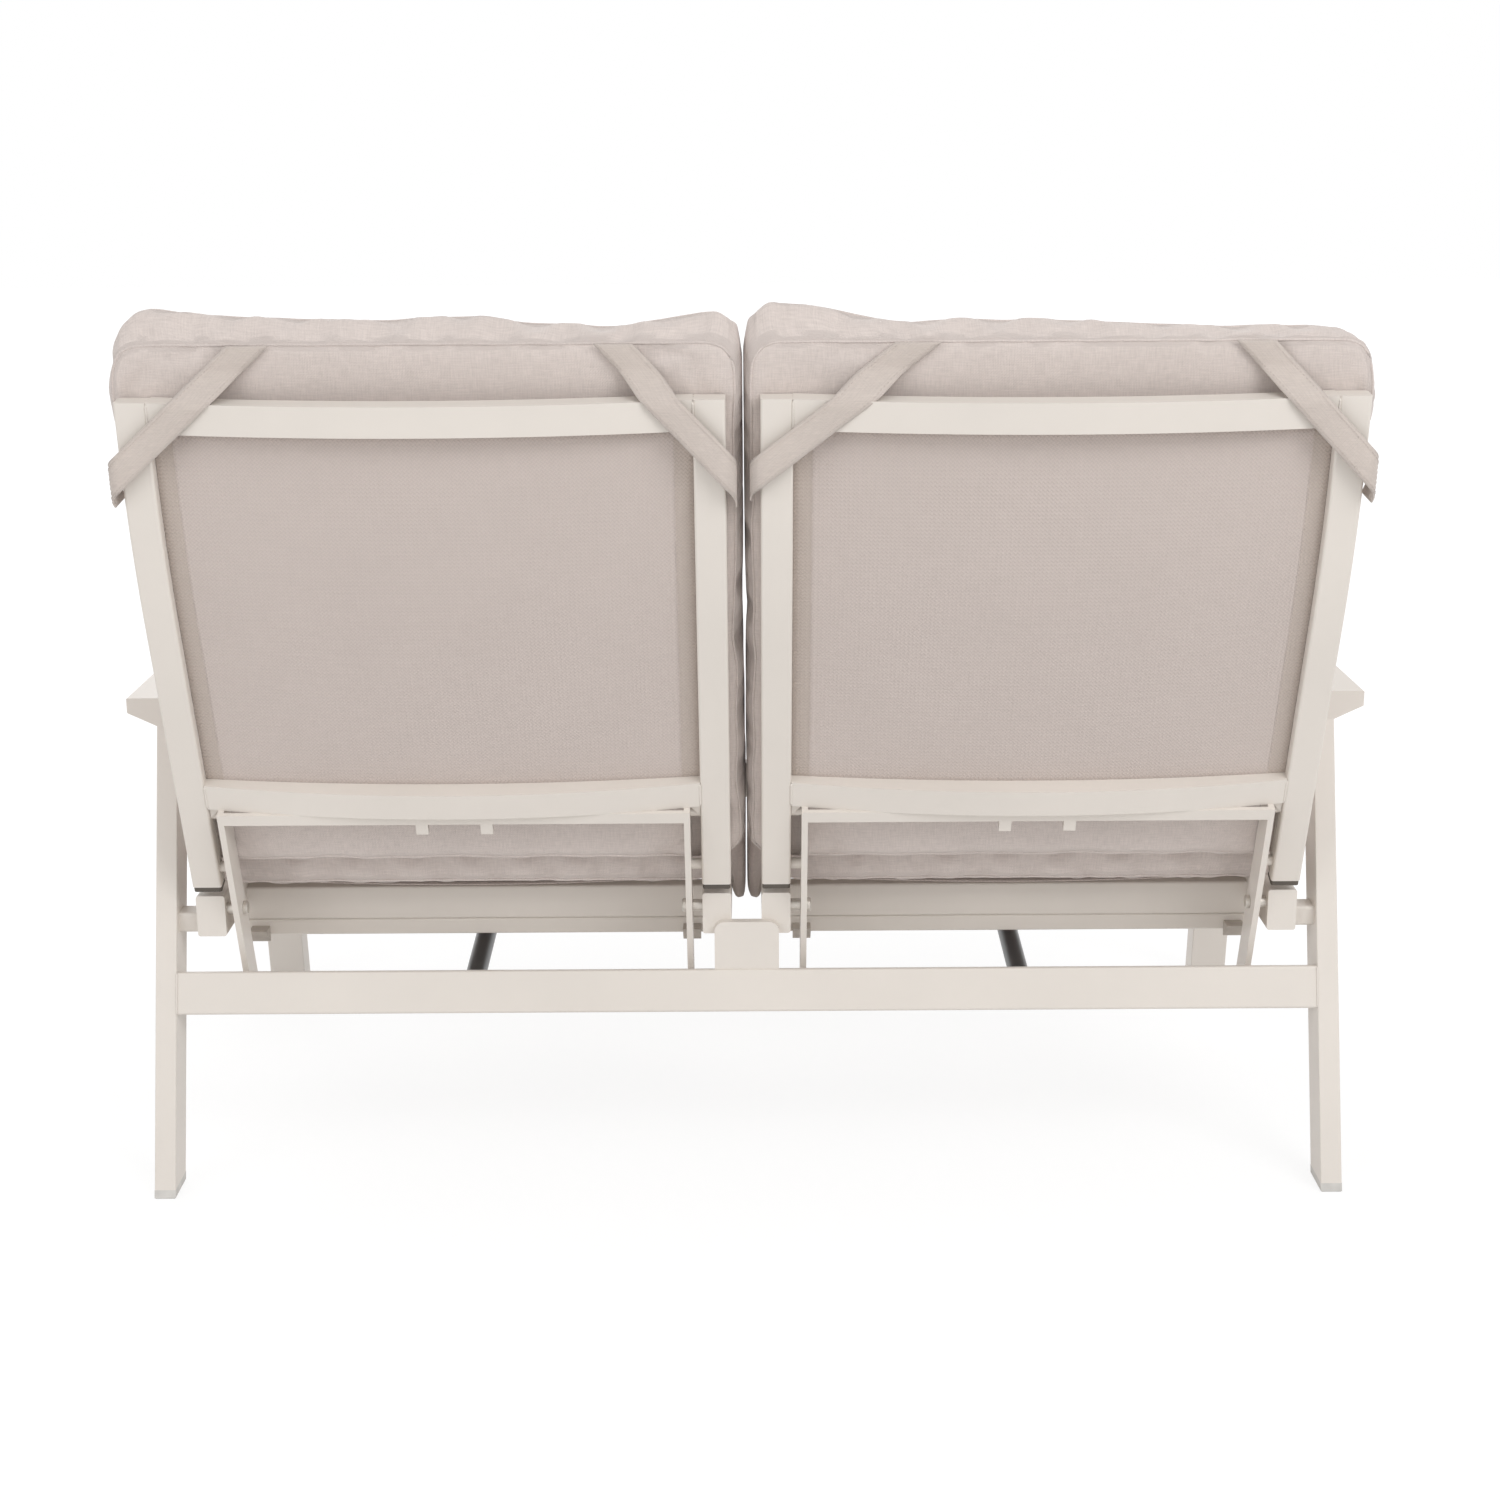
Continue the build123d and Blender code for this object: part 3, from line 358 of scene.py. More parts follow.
class Cushion:
    """A boxed cushion in its own flat frame: across, along and out from what it rests on.

    Two panels, front and rear, are joined by a strip round their outlines. Each panel has its low
    and high place across, its start and end along, and its corner radius. The edge and the crown
    are heights of the front panel, and rear_edge is the edge's height at the start, if it differs.
    """

    def __init__(self, name, front, rear, edge, crown, rear_edge, shares, seed):
        self.name, self.front_at, self.rear_at = name, front, rear
        self.edge, self.crown, self.rear_edge = edge, crown, rear_edge
        self.shares, self.seed = shares, seed
        self.build()

    def panel(self, at, i, j):
        """A panel's point across and along, with rounded corners."""
        low, high, start, end, corner = at
        u = i / CELLS
        v = j / CELLS
        u -= 0.03 * math.sin(2 * math.pi * u)
        v -= 0.03 * math.sin(2 * math.pi * v)
        x, a = low + (high - low) * u, start + (end - start) * v
        cx = min(max(x, low + corner), high - corner)
        ca = min(max(a, start + corner), end - corner)
        dx, da = x - cx, a - ca
        if dx and da:
            pull = max(abs(dx), abs(da)) / math.hypot(dx, da)
            x, a = cx + dx * pull, ca + da * pull
        return x, a, u, v

    def front_height(self, x, a, u, v):
        """How far the front panel stands out: lower at its edges, fullest in its middle."""
        across_form = 1 - (2 * u - 1) ** 2
        base = 0.0 if self.rear_edge is None else self.rear_edge
        thick = base + (self.edge - base) * between(self.shares, v)
        n = thick - 0.005 + (self.crown - self.edge) * between(self.shares, v, 2) * across_form
        return n + 0.003 * wobble(x, a, self.seed, 9) * across_form

    def build(self):
        verts, uvs = [], []
        front, back = {}, {}
        for j in range(CELLS + 1):
            for i in range(CELLS + 1):
                x, a, u, v = self.panel(self.front_at, i, j)
                front[i, j] = len(verts)
                verts.append([x, a, self.front_height(x, a, u, v)])
                uvs.append((x, a))
        for j in range(CELLS + 1):
            for i in range(CELLS + 1):
                x, a, _, _ = self.panel(self.rear_at, i, j)
                back[i, j] = len(verts)
                verts.append([x, a, 0.003])
                uvs.append((x + 1.3, a))
        loop = ([(i, 0) for i in range(CELLS)] + [(CELLS, j) for j in range(CELLS)]
                + [(i, CELLS) for i in range(CELLS, 0, -1)] + [(0, j) for j in range(CELLS, 0, -1)])
        count = len(loop)
        self.front_loop = [front[p] for p in loop]
        self.back_loop = [back[p] for p in loop]
        for (_, j), index in zip(loop, self.front_loop):
            x, a, _ = verts[index]
            calm = 0.3 if self.rear_edge is not None and j == 0 else 1.0
            away = 0.0025 * calm * wobble(x, a, self.seed + 3, 26)
            verts[index][1 if j in (0, CELLS) else 0] += away
            verts[index][2] += 0.002 * calm * wobble(x, a, self.seed + 5, 31)
        faces = []
        for j in range(CELLS):
            for i in range(CELLS):
                faces.append((front[i, j], front[i + 1, j], front[i + 1, j + 1], front[i, j + 1]))
                faces.append((back[i, j], back[i, j + 1], back[i + 1, j + 1], back[i + 1, j]))
        rings = [self.front_loop]
        run = [0.0]
        for index in range(1, count + 1):
            p, q = verts[self.front_loop[index - 1]], verts[self.front_loop[index % count]]
            run.append(run[-1] + math.dist(p, q))
        x_low, x_high, start, end, _ = self.front_at
        middle = Vector(((x_low + x_high) / 2, (start + end) / 2, 0))
        for k in range(1, STRIP_ROWS):
            t = k / STRIP_ROWS
            ring = []
            for index in range(count):
                p, q = Vector(verts[self.front_loop[index]]), Vector(verts[self.back_loop[index]])
                point = p.lerp(q, t)
                away = point - middle
                away.z = 0
                point += away.normalized() * 0.006 * math.sin(math.pi * t)
                ring.append(len(verts))
                verts.append(list(point))
                uvs.append((2.7 + run[index], point.z))
            rings.append(ring)
        rings.append(self.back_loop)
        for ring, following in zip(rings, rings[1:]):
            for index in range(count):
                nxt = (index + 1) % count
                faces.append((ring[index], following[index], following[nxt], ring[nxt]))
        self.verts, self.uvs, self.faces = np.array(verts, float), uvs, faces
        self.rest = self.verts.copy()

    def simulate(self):
        """Inflates the cover between its seams, which keep their places."""
        obj = new_object(self.name + "_sim", self.verts, self.faces, CUSHION)
        group = obj.vertex_groups.new(name="seams")
        group.add([int(v) for v in set(self.front_loop + self.back_loop)], 1.0, "REPLACE")
        mod = obj.modifiers.new("cloth", "CLOTH")
        cloth = mod.settings
        cloth.quality = 6
        cloth.mass = 0.35
        cloth.tension_stiffness = 14
        cloth.compression_stiffness = 10
        cloth.shear_stiffness = 4
        cloth.bending_stiffness = 0.4
        cloth.air_damping = 1.5
        cloth.use_pressure = True
        cloth.uniform_pressure_force = 3.4
        cloth.shrink_min = -0.04
        cloth.vertex_group_mass = "seams"
        cloth.effector_weights.gravity = 0
        mod.collision_settings.use_collision = False
        mod.collision_settings.use_self_collision = False
        mod.point_cache.frame_start, mod.point_cache.frame_end = 1, CLOTH_FRAMES
        scene = bpy.context.scene
        for number in range(1, CLOTH_FRAMES + 1):
            scene.frame_set(number)
        inflated = obj.evaluated_get(bpy.context.evaluated_depsgraph_get())
        mesh = inflated.to_mesh()
        co = np.zeros(len(mesh.vertices) * 3)
        mesh.vertices.foreach_get("co", co)
        self.verts = co.reshape(-1, 3)
        inflated.to_mesh_clear()
        scene.frame_set(1)
        bpy.data.objects.remove(obj)
        moved = self.verts - self.rest
        far = np.linalg.norm(moved, axis=1)
        limited = SWELL_LIMIT * np.tanh(far / SWELL_LIMIT)
        scale = np.where(far > 1e-9, limited / np.maximum(far, 1e-9), 1.0)
        self.verts = self.rest + moved * scale[:, None]

    def fit_side(self, axis, sign, knots, reach, keep=0.0):
        """Moves one side's outline to where the knots put it, and eases off inside it."""
        along = 1 - axis
        verts = self.verts
        low, high = verts[:, along].min(), verts[:, along].max()
        bins = 36
        place = np.clip(((verts[:, along] - low) / (high - low) * bins).astype(int), 0, bins - 1)
        far = np.array([(verts[place == k, axis] * sign).max() * sign for k in range(bins)])
        centres = low + (np.arange(bins) + 0.5) * (high - low) / bins
        shift = between(knots, centres) - far
        smooth = np.convolve(np.pad(shift, 1, "edge"), (0.25, 0.5, 0.25), "valid")
        edge = np.interp(verts[:, along], centres, far)
        near = np.clip(1 - (edge - verts[:, axis]) * sign / reach, 0, 1)
        near = near * near * (3 - 2 * near)
        if keep:
            held = np.clip(verts[:, 2] / keep, 0, 1)
            near = near * held * held * (3 - 2 * held)
        verts[:, axis] += np.interp(verts[:, along], centres, smooth) * near

    def press(self, knots, reach):
        """Flattens the inner side where the two cushions lean on each other."""
        rest = between(knots, self.verts[:, 1])
        part = np.clip((self.verts[:, 0] - rest) / np.maximum(reach - rest, 0.001), 0, 1)
        touching = (self.verts[:, 0] < reach) & (self.verts[:, 2] > 0.002) & (rest < 0.006)
        self.verts[:, 0] = np.where(touching, rest + (reach - rest) * part ** 2.6, self.verts[:, 0])

    def crease(self, depth):
        """Small puckers that run off the seams, deepest at the corners."""
        low, high = self.verts.min(0), self.verts.max(0)
        for v in self.verts:
            side = min(v[0] - low[0], high[0] - v[0])
            end = min(v[1] - low[1], high[1] - v[1])
            corner = math.exp(-(side * side + end * end) / 0.011)
            edge = math.exp(-min(side, end) / 0.035)
            turn = math.atan2(end + 0.01, side + 0.01)
            ripple = math.sin(turn * 17 + self.seed * 2) * corner
            run = v[0] if end < side else v[1]
            ripple += 0.45 * edge * math.sin(run * 150 + 2.2 * math.sin(run * 37 + self.seed))
            ripple += 0.5 * wobble(v[0], v[1], self.seed + 9, 24)
            if self.rear_edge is not None and v[1] < low[1] + 0.10:
                ripple *= 0.3
            if v[2] > 0.02:
                v[2] += depth * ripple
            if end < 0.05 and v[2] > 0.008:
                v[1] += depth * 0.5 * ripple * (1 if v[1] > (low[1] + high[1]) / 2 else -1)

    def settle(self, x_low, x_high, floor_at, roof_at=None):
        """Keeps the cover clear of what it rests on and of its neighbours."""
        for v in self.verts:
            v[0] = min(max(v[0], x_low), x_high(v[1]))
            v[2] = max(v[2], floor_at(v[0], v[1]))
            if roof_at is not None:
                v[2] = min(v[2], roof_at(v[0], v[1]))

    def place(self, to_world, body, node_name, side):
        verts = [to_world(*v) for v in self.verts]
        obj = new_object(self.name, verts, self.faces, CUSHION, self.uvs)
        if side < 0:
            obj.data.flip_normals()
        sub = obj.modifiers.new("soft", "SUBSURF")
        sub.levels = sub.render_levels = 1
        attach(obj, body)
        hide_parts(node_name)
        softened = obj.evaluated_get(bpy.context.evaluated_depsgraph_get())
        surface = softened.to_mesh()
        for which, ring in (("front", self.front_loop), ("rear", self.back_loop)):
            line = [surface.vertices[i].co.copy() for i in ring]
            piping(self.name + "_" + which + "_seam", line, body)
        softened.to_mesh_clear()


def piping(name, line, body):
    """A cloth-covered cord sewn into a closed seam."""
    count = len(line)
    smooth = [(line[i - 1] + line[i] * 2 + line[(i + 1) % count]) / 4 for i in range(count)]
    verts, faces, uvs = [], [], []
    run = 0.0
    for i, p in enumerate(smooth):
        ahead = (smooth[(i + 1) % count] - smooth[i - 1]).normalized()
        up = Vector((0, 0.31, 0.95))
        if abs(ahead.dot(up)) > 0.9:
            up = Vector((1, 0, 0))
        a = ahead.cross(up).normalized()
        b = ahead.cross(a).normalized()
        run += (smooth[i] - smooth[i - 1]).length
        verts += ring_points(p, a, b, PIPING_RADIUS)
        uvs += [(run, k * PIPING_RADIUS * 6.28 / TUBE_SIDES) for k in range(TUBE_SIDES)]
        faces += tube_faces(i * TUBE_SIDES, (i + 1) % count * TUBE_SIDES)
    obj = new_object(name, verts, faces, CUSHION, uvs)
    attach(obj, body)


def back_floor(x, a):
    """The rear limit of a back cushion: the stiles and rails, or the sling between them."""
    out = x - SEAT_MID
    inside = clamp((CLEAR_HALF - 0.012 - abs(out)) / 0.05)
    up = clamp((a - 0.155) / 0.04) * clamp((STILE_LENGTH - 0.045 - a) / 0.04)
    return 0.0 - inside * up * (0.006 + 0.6 * sag(out))


def seat_floor(x, a):
    """The underside of a seat cushion: the rails' tops, the sling, and the gap between the seats."""
    out = x - SEAT_MID
    if x < INNER_HANG or x > OUTER_HANG:
        return -0.038
    return -0.0070 * clamp((CLEAR_HALF - 0.001 - abs(out)) / 0.006)


def seat_outer(a):
    """How far out a seat cushion may bulge: less where the front legs stand."""
    return 0.6692 if a < 0.56 else max(0.6480, 0.6692 - (a - 0.56) * 0.35)


def seat_roof(x, a):
    """The underside of the back cushion, which leans over the rear of the seat cushion."""
    behind = a - 0.150
    return 0.0612 + 0.50 * max(-0.02, behind) if behind < 0.07 else 1.0


def back_outer(a):
    """How far out a back cushion may bulge: less where the armrests pass."""
    return 0.6600 + clamp((a - 0.40) / 0.08) * 0.0085


def hang_sides(seat):
    """Lets the seat cushion's sides sag past the rails, and its underside onto the sling."""
    low, high = seat.verts[:, 1].min(), seat.verts[:, 1].max()
    for v in seat.verts:
        end = min(v[1] - low + 0.010, 0.655 - v[1], high - v[1])
        drop = math.sqrt(clamp((end - 0.004) / 0.03))
        outside = v[0] > OUTER_HANG + 0.0005 and v[1] < 0.58
        if outside:
            drop *= clamp((0.575 - v[1]) / 0.10) ** 0.5
        if (v[0] < INNER_HANG or outside) and v[2] < HANG_START:
            depth = (HANG_START - v[2]) / HANG_START
            v[2] = HANG_START - depth * (HANG_LEAST + HANG_MORE * drop)
            round_off = (1 - math.sqrt(1 - clamp((-v[2] - 0.024) / 0.029) ** 2)) * 0.55
            if outside:
                v[0] = max(0.6508, min(v[0], 0.6690 - 0.0175 * round_off))
            else:
                lip, rail = 0.0008 + 0.0155 * round_off, INNER_HANG - 0.0002
                v[0] = lip + (rail - lip) * clamp((v[0] - lip) / (rail - lip)) ** 2
        elif v[2] < 0.02 and v[0] < 0.64:
            v[2] -= 0.0062 * (1 - v[2] / 0.02)


# Heights along the back, and places across it, that the outlines keep to
BACK_TOP = {
    "right": ((0.0, 0.686), (0.010, 0.697), (0.060, 0.697), (0.124, 0.684), (0.190, 0.687), (0.240, 0.689),
              (0.262, 0.695), (0.290, 0.697), (0.380, 0.692), (0.488, 0.695), (0.577, 0.699), (0.612, 0.709),
              (0.640, 0.700), (0.656, 0.676)),
    "left": ((0.0, 0.696), (0.022, 0.709), (0.060, 0.707), (0.115, 0.697), (0.165, 0.684), (0.200, 0.690),
             (0.300, 0.689), (0.400, 0.685), (0.480, 0.681), (0.560, 0.682), (0.610, 0.682), (0.640, 0.672),
             (0.656, 0.650))}
BACK_OUTER = ((0.02, 0.636), (0.08, 0.650), (0.16, 0.655), (0.35, 0.656), (0.45, 0.661), (0.56, 0.666),
              (0.62, 0.668), (0.65, 0.664), (0.68, 0.648), (0.70, 0.632))
BACK_INNER = ((0.02, 0.008), (0.05, 0.0010), (0.20, 0.0004), (0.28, 0.0008), (0.35, 0.0021), (0.42, 0.0009),
              (0.48, 0.0003), (0.64, 0.0003), (0.67, 0.006), (0.70, 0.022))
BACK_LOW = ((0.0, 0.022), (0.05, 0.0130), (0.60, 0.0130), (0.66, 0.022))
SEAT_INNER = ((0.15, 0.012), (0.19, 0.0008), (0.68, 0.0012), (0.72, 0.014))
SEAT_OUTER = ((0.15, 0.652), (0.19, 0.6675), (0.52, 0.6675), (0.60, 0.6470), (0.72, 0.638))


def dress_side(label, side):
    body = label + "_back"
    seed = 1.0 if side > 0 else 4.0
    back = Cushion(label + "_back_pillow", (0.006, 0.652, 0.013, 0.684, 0.030),
                   (0.010, 0.650, 0.018, 0.672, 0.026), 0.078, 0.118, None, BACK_SHARES, seed)
    seat = Cushion(label + "_seat_pad", (0.008, 0.642, 0.154, 0.712, 0.028),
                   (0.010, 0.642, 0.153, 0.710, 0.026), 0.064, 0.090, 0.0605, SEAT_SHARES, seed + 2)
    back.simulate()
    seat.simulate()
    back.crease(0.0016)
    seat.crease(0.0013)
    back.fit_side(0, 1, BACK_OUTER, 0.11)
    back.fit_side(0, -1, BACK_INNER, 0.11)
    back.press(BACK_INNER, 0.016)
    back.fit_side(1, 1, BACK_TOP[label], 0.13, keep=0.030)
    back.fit_side(1, -1, BACK_LOW, 0.10)
    seat.fit_side(0, -1, SEAT_INNER, 0.10)
    seat.press(SEAT_INNER, 0.014)
    seat.fit_side(0, 1, SEAT_OUTER, 0.10)
    hang_sides(seat)
    back.settle(0.0005, back_outer, back_floor)
    seat.settle(0.0006, seat_outer, seat_floor, seat_roof)
    back.place(lambda x, a, n: back_point(side * x, a, STILE_DEPTH + 0.0009 + n), body,
               label + "_back_cushion", side)
    seat.place(lambda x, a, n: Vector((side * x, HEEL - a, SEAT_TOP + 0.0006 + n)), "frame",
               label + "_seat_cushion", -side)


# ---- slings and straps ----

SLING_TUCK = 0.0052
SLING_THICKNESS = 0.0014
STRAP_WIDTH = 0.030
STRAP_THICKNESS = 0.0015
# What a strap has left over to turn round the stile and go on to the cushion's side
STRAP_TURN = 0.052
STITCH_HALF = 0.0011
STITCH_THICKNESS = 0.0004
STITCH_LIFT = 0.0009

# How far inside the outer side of a stile each strap starts
STRAP_INSETS = {("right", "outer"): 0.139, ("right", "inner"): 0.116,
                ("left", "inner"): 0.164, ("left", "outer"): 0.120}
# How far behind the stiles' rear face a strap stands, by height above their top
STRAP_DEPTHS = ((-0.120, 0.0092), (-0.070, 0.0100), (-0.004, 0.0112), (0.004, 0.0080), (0.013, -0.0060),
                (0.021, -0.0170), (0.028, -0.0215), (0.100, -0.0240))


def sheet_object(name, grid, uv, thickness, material, body):
    """A thin sheet with rounded-over thickness from a grid of points."""
    rows, cols = len(grid), len(grid[0])
    verts = [p for row in grid for p in row]
    uvs = [p for row in uv for p in row]
    faces = [(j * cols + i, j * cols + i + 1, (j + 1) * cols + i + 1, (j + 1) * cols + i)
             for j in range(rows - 1) for i in range(cols - 1)]
    obj = new_object(name, verts, faces, material, uvs)
    solid = obj.modifiers.new("thick", "SOLIDIFY")
    solid.thickness = thickness
    solid.offset = 0
    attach(obj, body)
    return obj


def subdivide(line, parts):
    """The points of a line, and others between them."""
    fine = []
    for p, q in zip(line, line[1:]):
        fine += [p.lerp(q, k / parts) for k in range(parts)]
    return fine + [line[-1]]


def subdivide_rows(grid, column, parts):
    """The columns on either side of one, and itself, with more rows."""
    columns = [subdivide([row[c] for row in grid], parts) for c in (column - 1, column, column + 1)]
    return [list(row) for row in zip(*columns)]


def sheet_grid(cols, rows, spot):
    """Rows of points and of their places on the flat cloth, each from its column and row."""
    spots = [[spot(i, j) for i in range(cols + 1)] for j in range(rows + 1)]
    return [[point for point, _ in row] for row in spots], [[flat for _, flat in row] for row in spots]


def slings(label, side):
    reach = CLEAR_HALF + SLING_TUCK
    cols, rows = 44, 40

    def across(i):
        return -reach + 2 * reach * i / cols

    start, end = 0.1424, STILE_LENGTH - 0.0334

    def back_place(i, j):
        x, a = across(i), start + (end - start) * j / rows
        return back_point(side * (SEAT_MID + x), a, 0.015 - sag(x)), (x, a)

    grid, uv = sheet_grid(cols, rows, back_place)
    for column in (2, cols - 2):
        stitches(f"{label}_hem_{column}", subdivide([row[column] for row in grid], 4),
                 subdivide_rows(grid, column, 4), 1, label + "_back")
    obj = sheet_object(label + "_back_mesh", grid, uv, SLING_THICKNESS, SLING, label + "_back")
    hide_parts(label + "_back_sling")

    low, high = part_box(label + "_seat_sling")
    length = high.y - low.y - 0.002

    def seat_place(i, j):
        x, y = across(i), low.y + 0.001 + length * j / rows
        z = 0.336 - 0.010 * max(0.0, 1 - (x / reach) ** 2)
        return Vector((side * (SEAT_MID + x), y, z)), (x, y)

    grid, uv = sheet_grid(cols, rows, seat_place)
    obj = sheet_object(label + "_seat_mesh", grid, uv, SLING_THICKNESS, SLING, "frame")
    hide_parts(label + "_seat_sling")


def stitches(name, line, grid, column, body):
    """Small thread stitches on both faces of a sheet, along one of its columns."""
    verts, faces = [], []
    for index in range(1, len(line) - 1):
        p, q = line[index], line[index + 1]
        ahead = (q - p).normalized()
        beside = (grid[index][column + 1] - grid[index][column - 1]).normalized()
        out = ahead.cross(beside).normalized()
        for face_sign in (1, -1):
            middle = (p + q) / 2 + out * STITCH_LIFT * face_sign
            half = min(STITCH_HALF, (q - p).length * 0.36)
            base = len(verts)
            for end in (-1, 1):
                for turn in range(4):
                    angle = math.pi * (0.25 + turn / 2)
                    ring = beside * math.cos(angle) + out * math.sin(angle)
                    verts.append(middle + ahead * half * end + ring * STITCH_THICKNESS)
            for turn in range(4):
                nxt = (turn + 1) % 4
                faces.append((base + turn, base + nxt, base + 4 + nxt, base + 4 + turn))
            faces.append((base + 3, base + 2, base + 1, base))
            faces.append((base + 4, base + 5, base + 6, base + 7))
    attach(new_object(name, verts, faces, THREAD), body)


def strap(name, side, hand, body, inset):
    """A flat strap from the cushion's rear seam round the outside of a stile."""
    high = Vector((SEAT_HALF - inset, 0.0540))
    low = Vector((SEAT_HALF + 0.006, -0.078))
    run = low - high
    length = run.length + STRAP_TURN
    run.normalize()
    across = Vector((-run.y, run.x))
    shear = -across.y / run.y
    corner = SEAT_HALF + 0.001
    radius = 0.0095
    cols, rows = 8, 60

    def place(i, j):
        s, w = length * j / rows, STRAP_WIDTH * (i / cols - 0.5)
        spot = high + run * (s + w * shear) + across * w
        depth = float(between(STRAP_DEPTHS, spot.y)) + 0.0012 * math.cos(math.pi * w / STRAP_WIDTH)
        out = spot.x
        if out > corner:
            turn = min((out - corner) / radius, math.pi * 0.5)
            rest = (out - corner) - turn * radius
            out = corner + radius * math.sin(turn) + rest * math.cos(turn)
            depth -= radius * (1 - math.cos(turn)) + rest * math.sin(turn)
        slack = 0.0015 * math.sin(math.pi * j / rows) * math.sin(9 * s / length)
        return strap_place(side * (SEAT_MID + hand * out), spot.y, depth + slack), (w, s)

    grid, uv = sheet_grid(cols, rows, place)
    for column in (1, cols - 1):
        stitches(f"{name}_stitch_{column}", [row[column] for row in grid], grid, column, body)
    obj = sheet_object(name, grid, uv, STRAP_THICKNESS, STRAP, body)
    return obj


def strap_place(x, up, depth):
    """A point measured up and back from the stiles' top end."""
    y, z, lean = back_spot(STILE_LENGTH, 0)
    y += up * math.sin(lean) + depth * math.cos(lean)
    z += up * math.cos(lean) - depth * math.sin(lean)
    return Vector((x, y + HEEL, z))


# ---- welds and gussets ----

WELD_RADIUS = 0.0016
RAIL_SKIN = 0.0003
LOW_RAIL_END = 0.1146


def bead(name, points, radius, body):
    """A weld bead: a rippled ridge, half sunk into the joint."""
    fine = subdivide(points, max(4, int(24 / len(points))))
    last = len(fine) - 1
    verts, faces = [], []
    for i, p in enumerate(fine):
        ahead = (fine[min(i + 1, last)] - fine[max(i - 1, 0)]).normalized()
        a = ahead.cross(Vector((1, 0, 0))).normalized()
        grow = radius * (0.86 + 0.14 * math.sin(i * 2.1)) * (0.35 if i in (0, last) else 1)
        verts += ring_points(p, a, ahead.cross(a), grow)
    for i in range(last):
        near, far = i * TUBE_SIDES, (i + 1) * TUBE_SIDES
        for k in range(TUBE_SIDES):
            m = (k + 1) % TUBE_SIDES
            faces.append((near + k, near + m, far + m, far + k))
    faces.append(tuple(range(TUBE_SIDES - 1, -1, -1)))
    faces.append(tuple(range(last * TUBE_SIDES, (last + 1) * TUBE_SIDES)))
    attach(new_object(name, verts, faces, FRAME), body)


def gusset(name, x_stile, x_lever, side, body):
    """A small corner plate between a stile, the bottom rail's end and a lever."""
    top, low = LOW_RAIL_END, 0.0985
    outline = ((x_stile, top), (x_lever, top), (x_lever, top - 0.004), (x_stile, low))
    verts = [back_point(side * x, a, f) for f in (0.004, 0.010) for x, a in outline]
    faces = [(0, 1, 2, 3), (7, 6, 5, 4)] + [(k, k + 4, (k + 1) % 4 + 4, (k + 1) % 4) for k in range(4)]
    obj = new_object(name, verts, faces, FRAME, smooth=False)
    rounded = obj.modifiers.new("edge", "BEVEL")
    rounded.width = 0.0006
    rounded.segments = 2
    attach(obj, body)


def metalwork(label, side):
    body = label + "_back"
    for word, sign in (("inner", -1), ("outer", 1)):
        x = side * (SEAT_MID + sign * CLEAR_HALF)
        for rail, low in (("low", LOW_RAIL_END + 0.0004), ("top", STILE_LENGTH - 0.033)):
            rows = [back_point(x, low + 0.002 + 0.029 * k / 6, RAIL_SKIN) for k in range(7)]
            bead(f"{label}_weld_{rail}_{word}", rows, WELD_RADIUS, body)
        under = [back_point(x, LOW_RAIL_END, 0.003 + 0.018 * k / 4) for k in range(5)]
        bead(f"{label}_weld_under_{word}", under, 0.0015, body)
    gusset(label + "_gusset_inner", 0.0522, 0.0632, side, body)
    gusset(label + "_gusset_outer", 0.6158, 0.6048, side, body)
    heights = (0.207, 0.215, 0.225, 0.235, 0.245, 0.2535)
    rows = [Vector((side * 0.6748, HEEL - z * math.tan(LEG_LEAN) + 0.0004, z)) for z in heights]
    bead(label + "_weld_stretcher", rows, 0.0014, "frame")


for label, side in (("right", 1), ("left", -1)):
    dress_side(label, side)
    metalwork(label, side)
    slings(label, side)
    for word, hand in (("outer", 1), ("inner", -1)):
        inset = STRAP_INSETS[label, word]
        strap(f"{label}_strap_{word}", side, hand, label + "_back", inset)
    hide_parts(label + "_corner_straps")


# ---- floor, light and camera ----

world = bpy.data.worlds.new("studio")
bpy.context.scene.world = world
tree = Tree(world)
tree.nodes.clear()
seen = tree.node("ShaderNodeBackground", Color=(1, 1, 1, 1), Strength=1.0)
plain = tree.node("ShaderNodeBackground", Color=(1.0, 0.995, 0.99, 1), Strength=0.66)
output = tree.nodes.new("ShaderNodeOutputWorld")
tree.links.new(tree.light_path_white(seen.outputs[0], plain.outputs[0]), output.inputs[0])

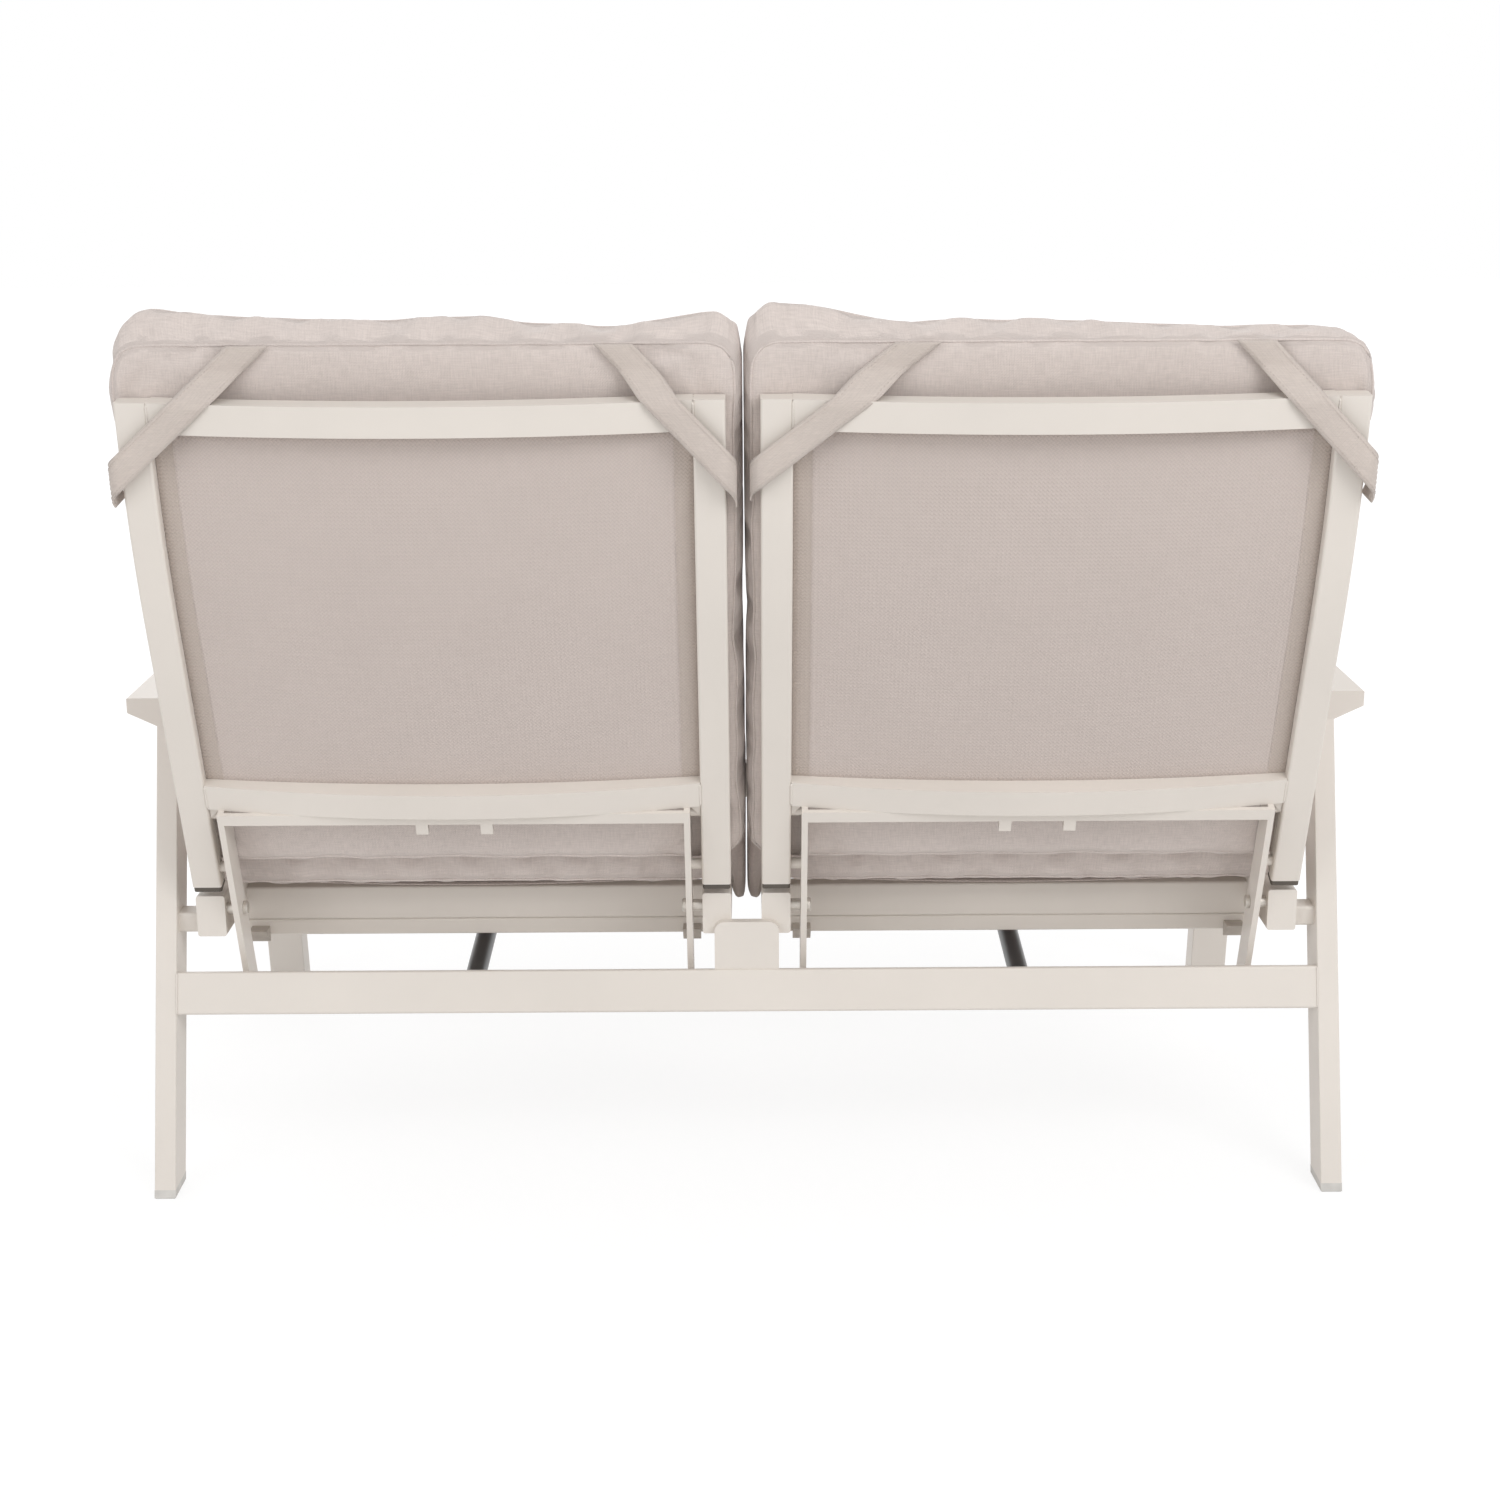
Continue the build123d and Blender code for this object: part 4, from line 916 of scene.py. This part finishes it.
# The floor glows by this share near the loveseat, which keeps its shadow, and fades to plain white
FLOOR_GLOW = 0.76
floor = new_object("floor", [(-14, -16, 0), (14, -16, 0), (14, 14, 0), (-14, 14, 0)], [(0, 1, 2, 3)],
                   bpy.data.materials.new("floor"), smooth=False)
floor.location.z = -0.0005
tree = Tree(floor.data.materials[0])
tree.nodes.clear()
diffuse = tree.node("ShaderNodeBsdfDiffuse", Color=(0.86, 0.86, 0.86, 1))
glow = tree.node("ShaderNodeEmission", Color=(1, 1, 1, 1), Strength=1.1)
distance = tree.nodes.new("ShaderNodeVectorMath")
distance.operation = "LENGTH"
tree.links.new(tree.nodes.new("ShaderNodeNewGeometry").outputs["Position"], distance.inputs[0])
away = tree.math("SUBTRACT", distance.outputs["Value"], 0.9)
glowing = tree.node("ShaderNodeClamp", Min=FLOOR_GLOW, Max=1.0)
tree.links.new(tree.scaled(away, 0.5, FLOOR_GLOW), glowing.inputs["Value"])
blend = tree.mix_shaders(glowing.outputs[0], diffuse.outputs[0], glow.outputs[0])
output = tree.nodes.new("ShaderNodeOutputMaterial")
tree.links.new(tree.light_path_white(blend, diffuse.outputs[0]), output.inputs[0])


def area(name, place, aim, size, energy):
    data = bpy.data.lights.new(name, "AREA")
    data.shape = "RECTANGLE"
    data.size, data.size_y = size
    data.energy = energy
    obj = bpy.data.objects.new(name, data)
    bpy.context.scene.collection.objects.link(obj)
    obj.location = place
    obj.rotation_euler = (Vector(aim) - Vector(place)).to_track_quat("-Z", "Y").to_euler()


area("key", (-2.4, 3.2, 3.4), (0, 0.1, 0.5), (2.4, 2.0), 74)
area("fill", (2.8, 3.0, 2.0), (0, 0.1, 0.5), (2.6, 2.2), 26)
area("front", (1.2, -3.6, 3.0), (0, 0.0, 0.5), (3.0, 2.4), 52)

# The camera fitted to the photo: its focal length in pixels of a 1500-pixel picture
FOCAL_PIXELS = 2329
camera_data = bpy.data.cameras.new("camera")
camera_data.sensor_width = 36
camera_data.lens = 36 * FOCAL_PIXELS / 1500
camera = bpy.data.objects.new("camera", camera_data)
bpy.context.scene.collection.objects.link(camera)
tilt = Matrix.Rotation(math.pi, 4, "Z") @ Matrix.Rotation(math.radians(75), 4, "X")
tilt = tilt @ Matrix.Rotation(math.radians(-0.35), 4, "Z")
camera.matrix_world = Matrix.Translation((-0.0052, HEEL + 2.516, 1.218)) @ tilt
bpy.context.scene.camera = camera
bpy.context.scene.view_settings.view_transform = "Standard"
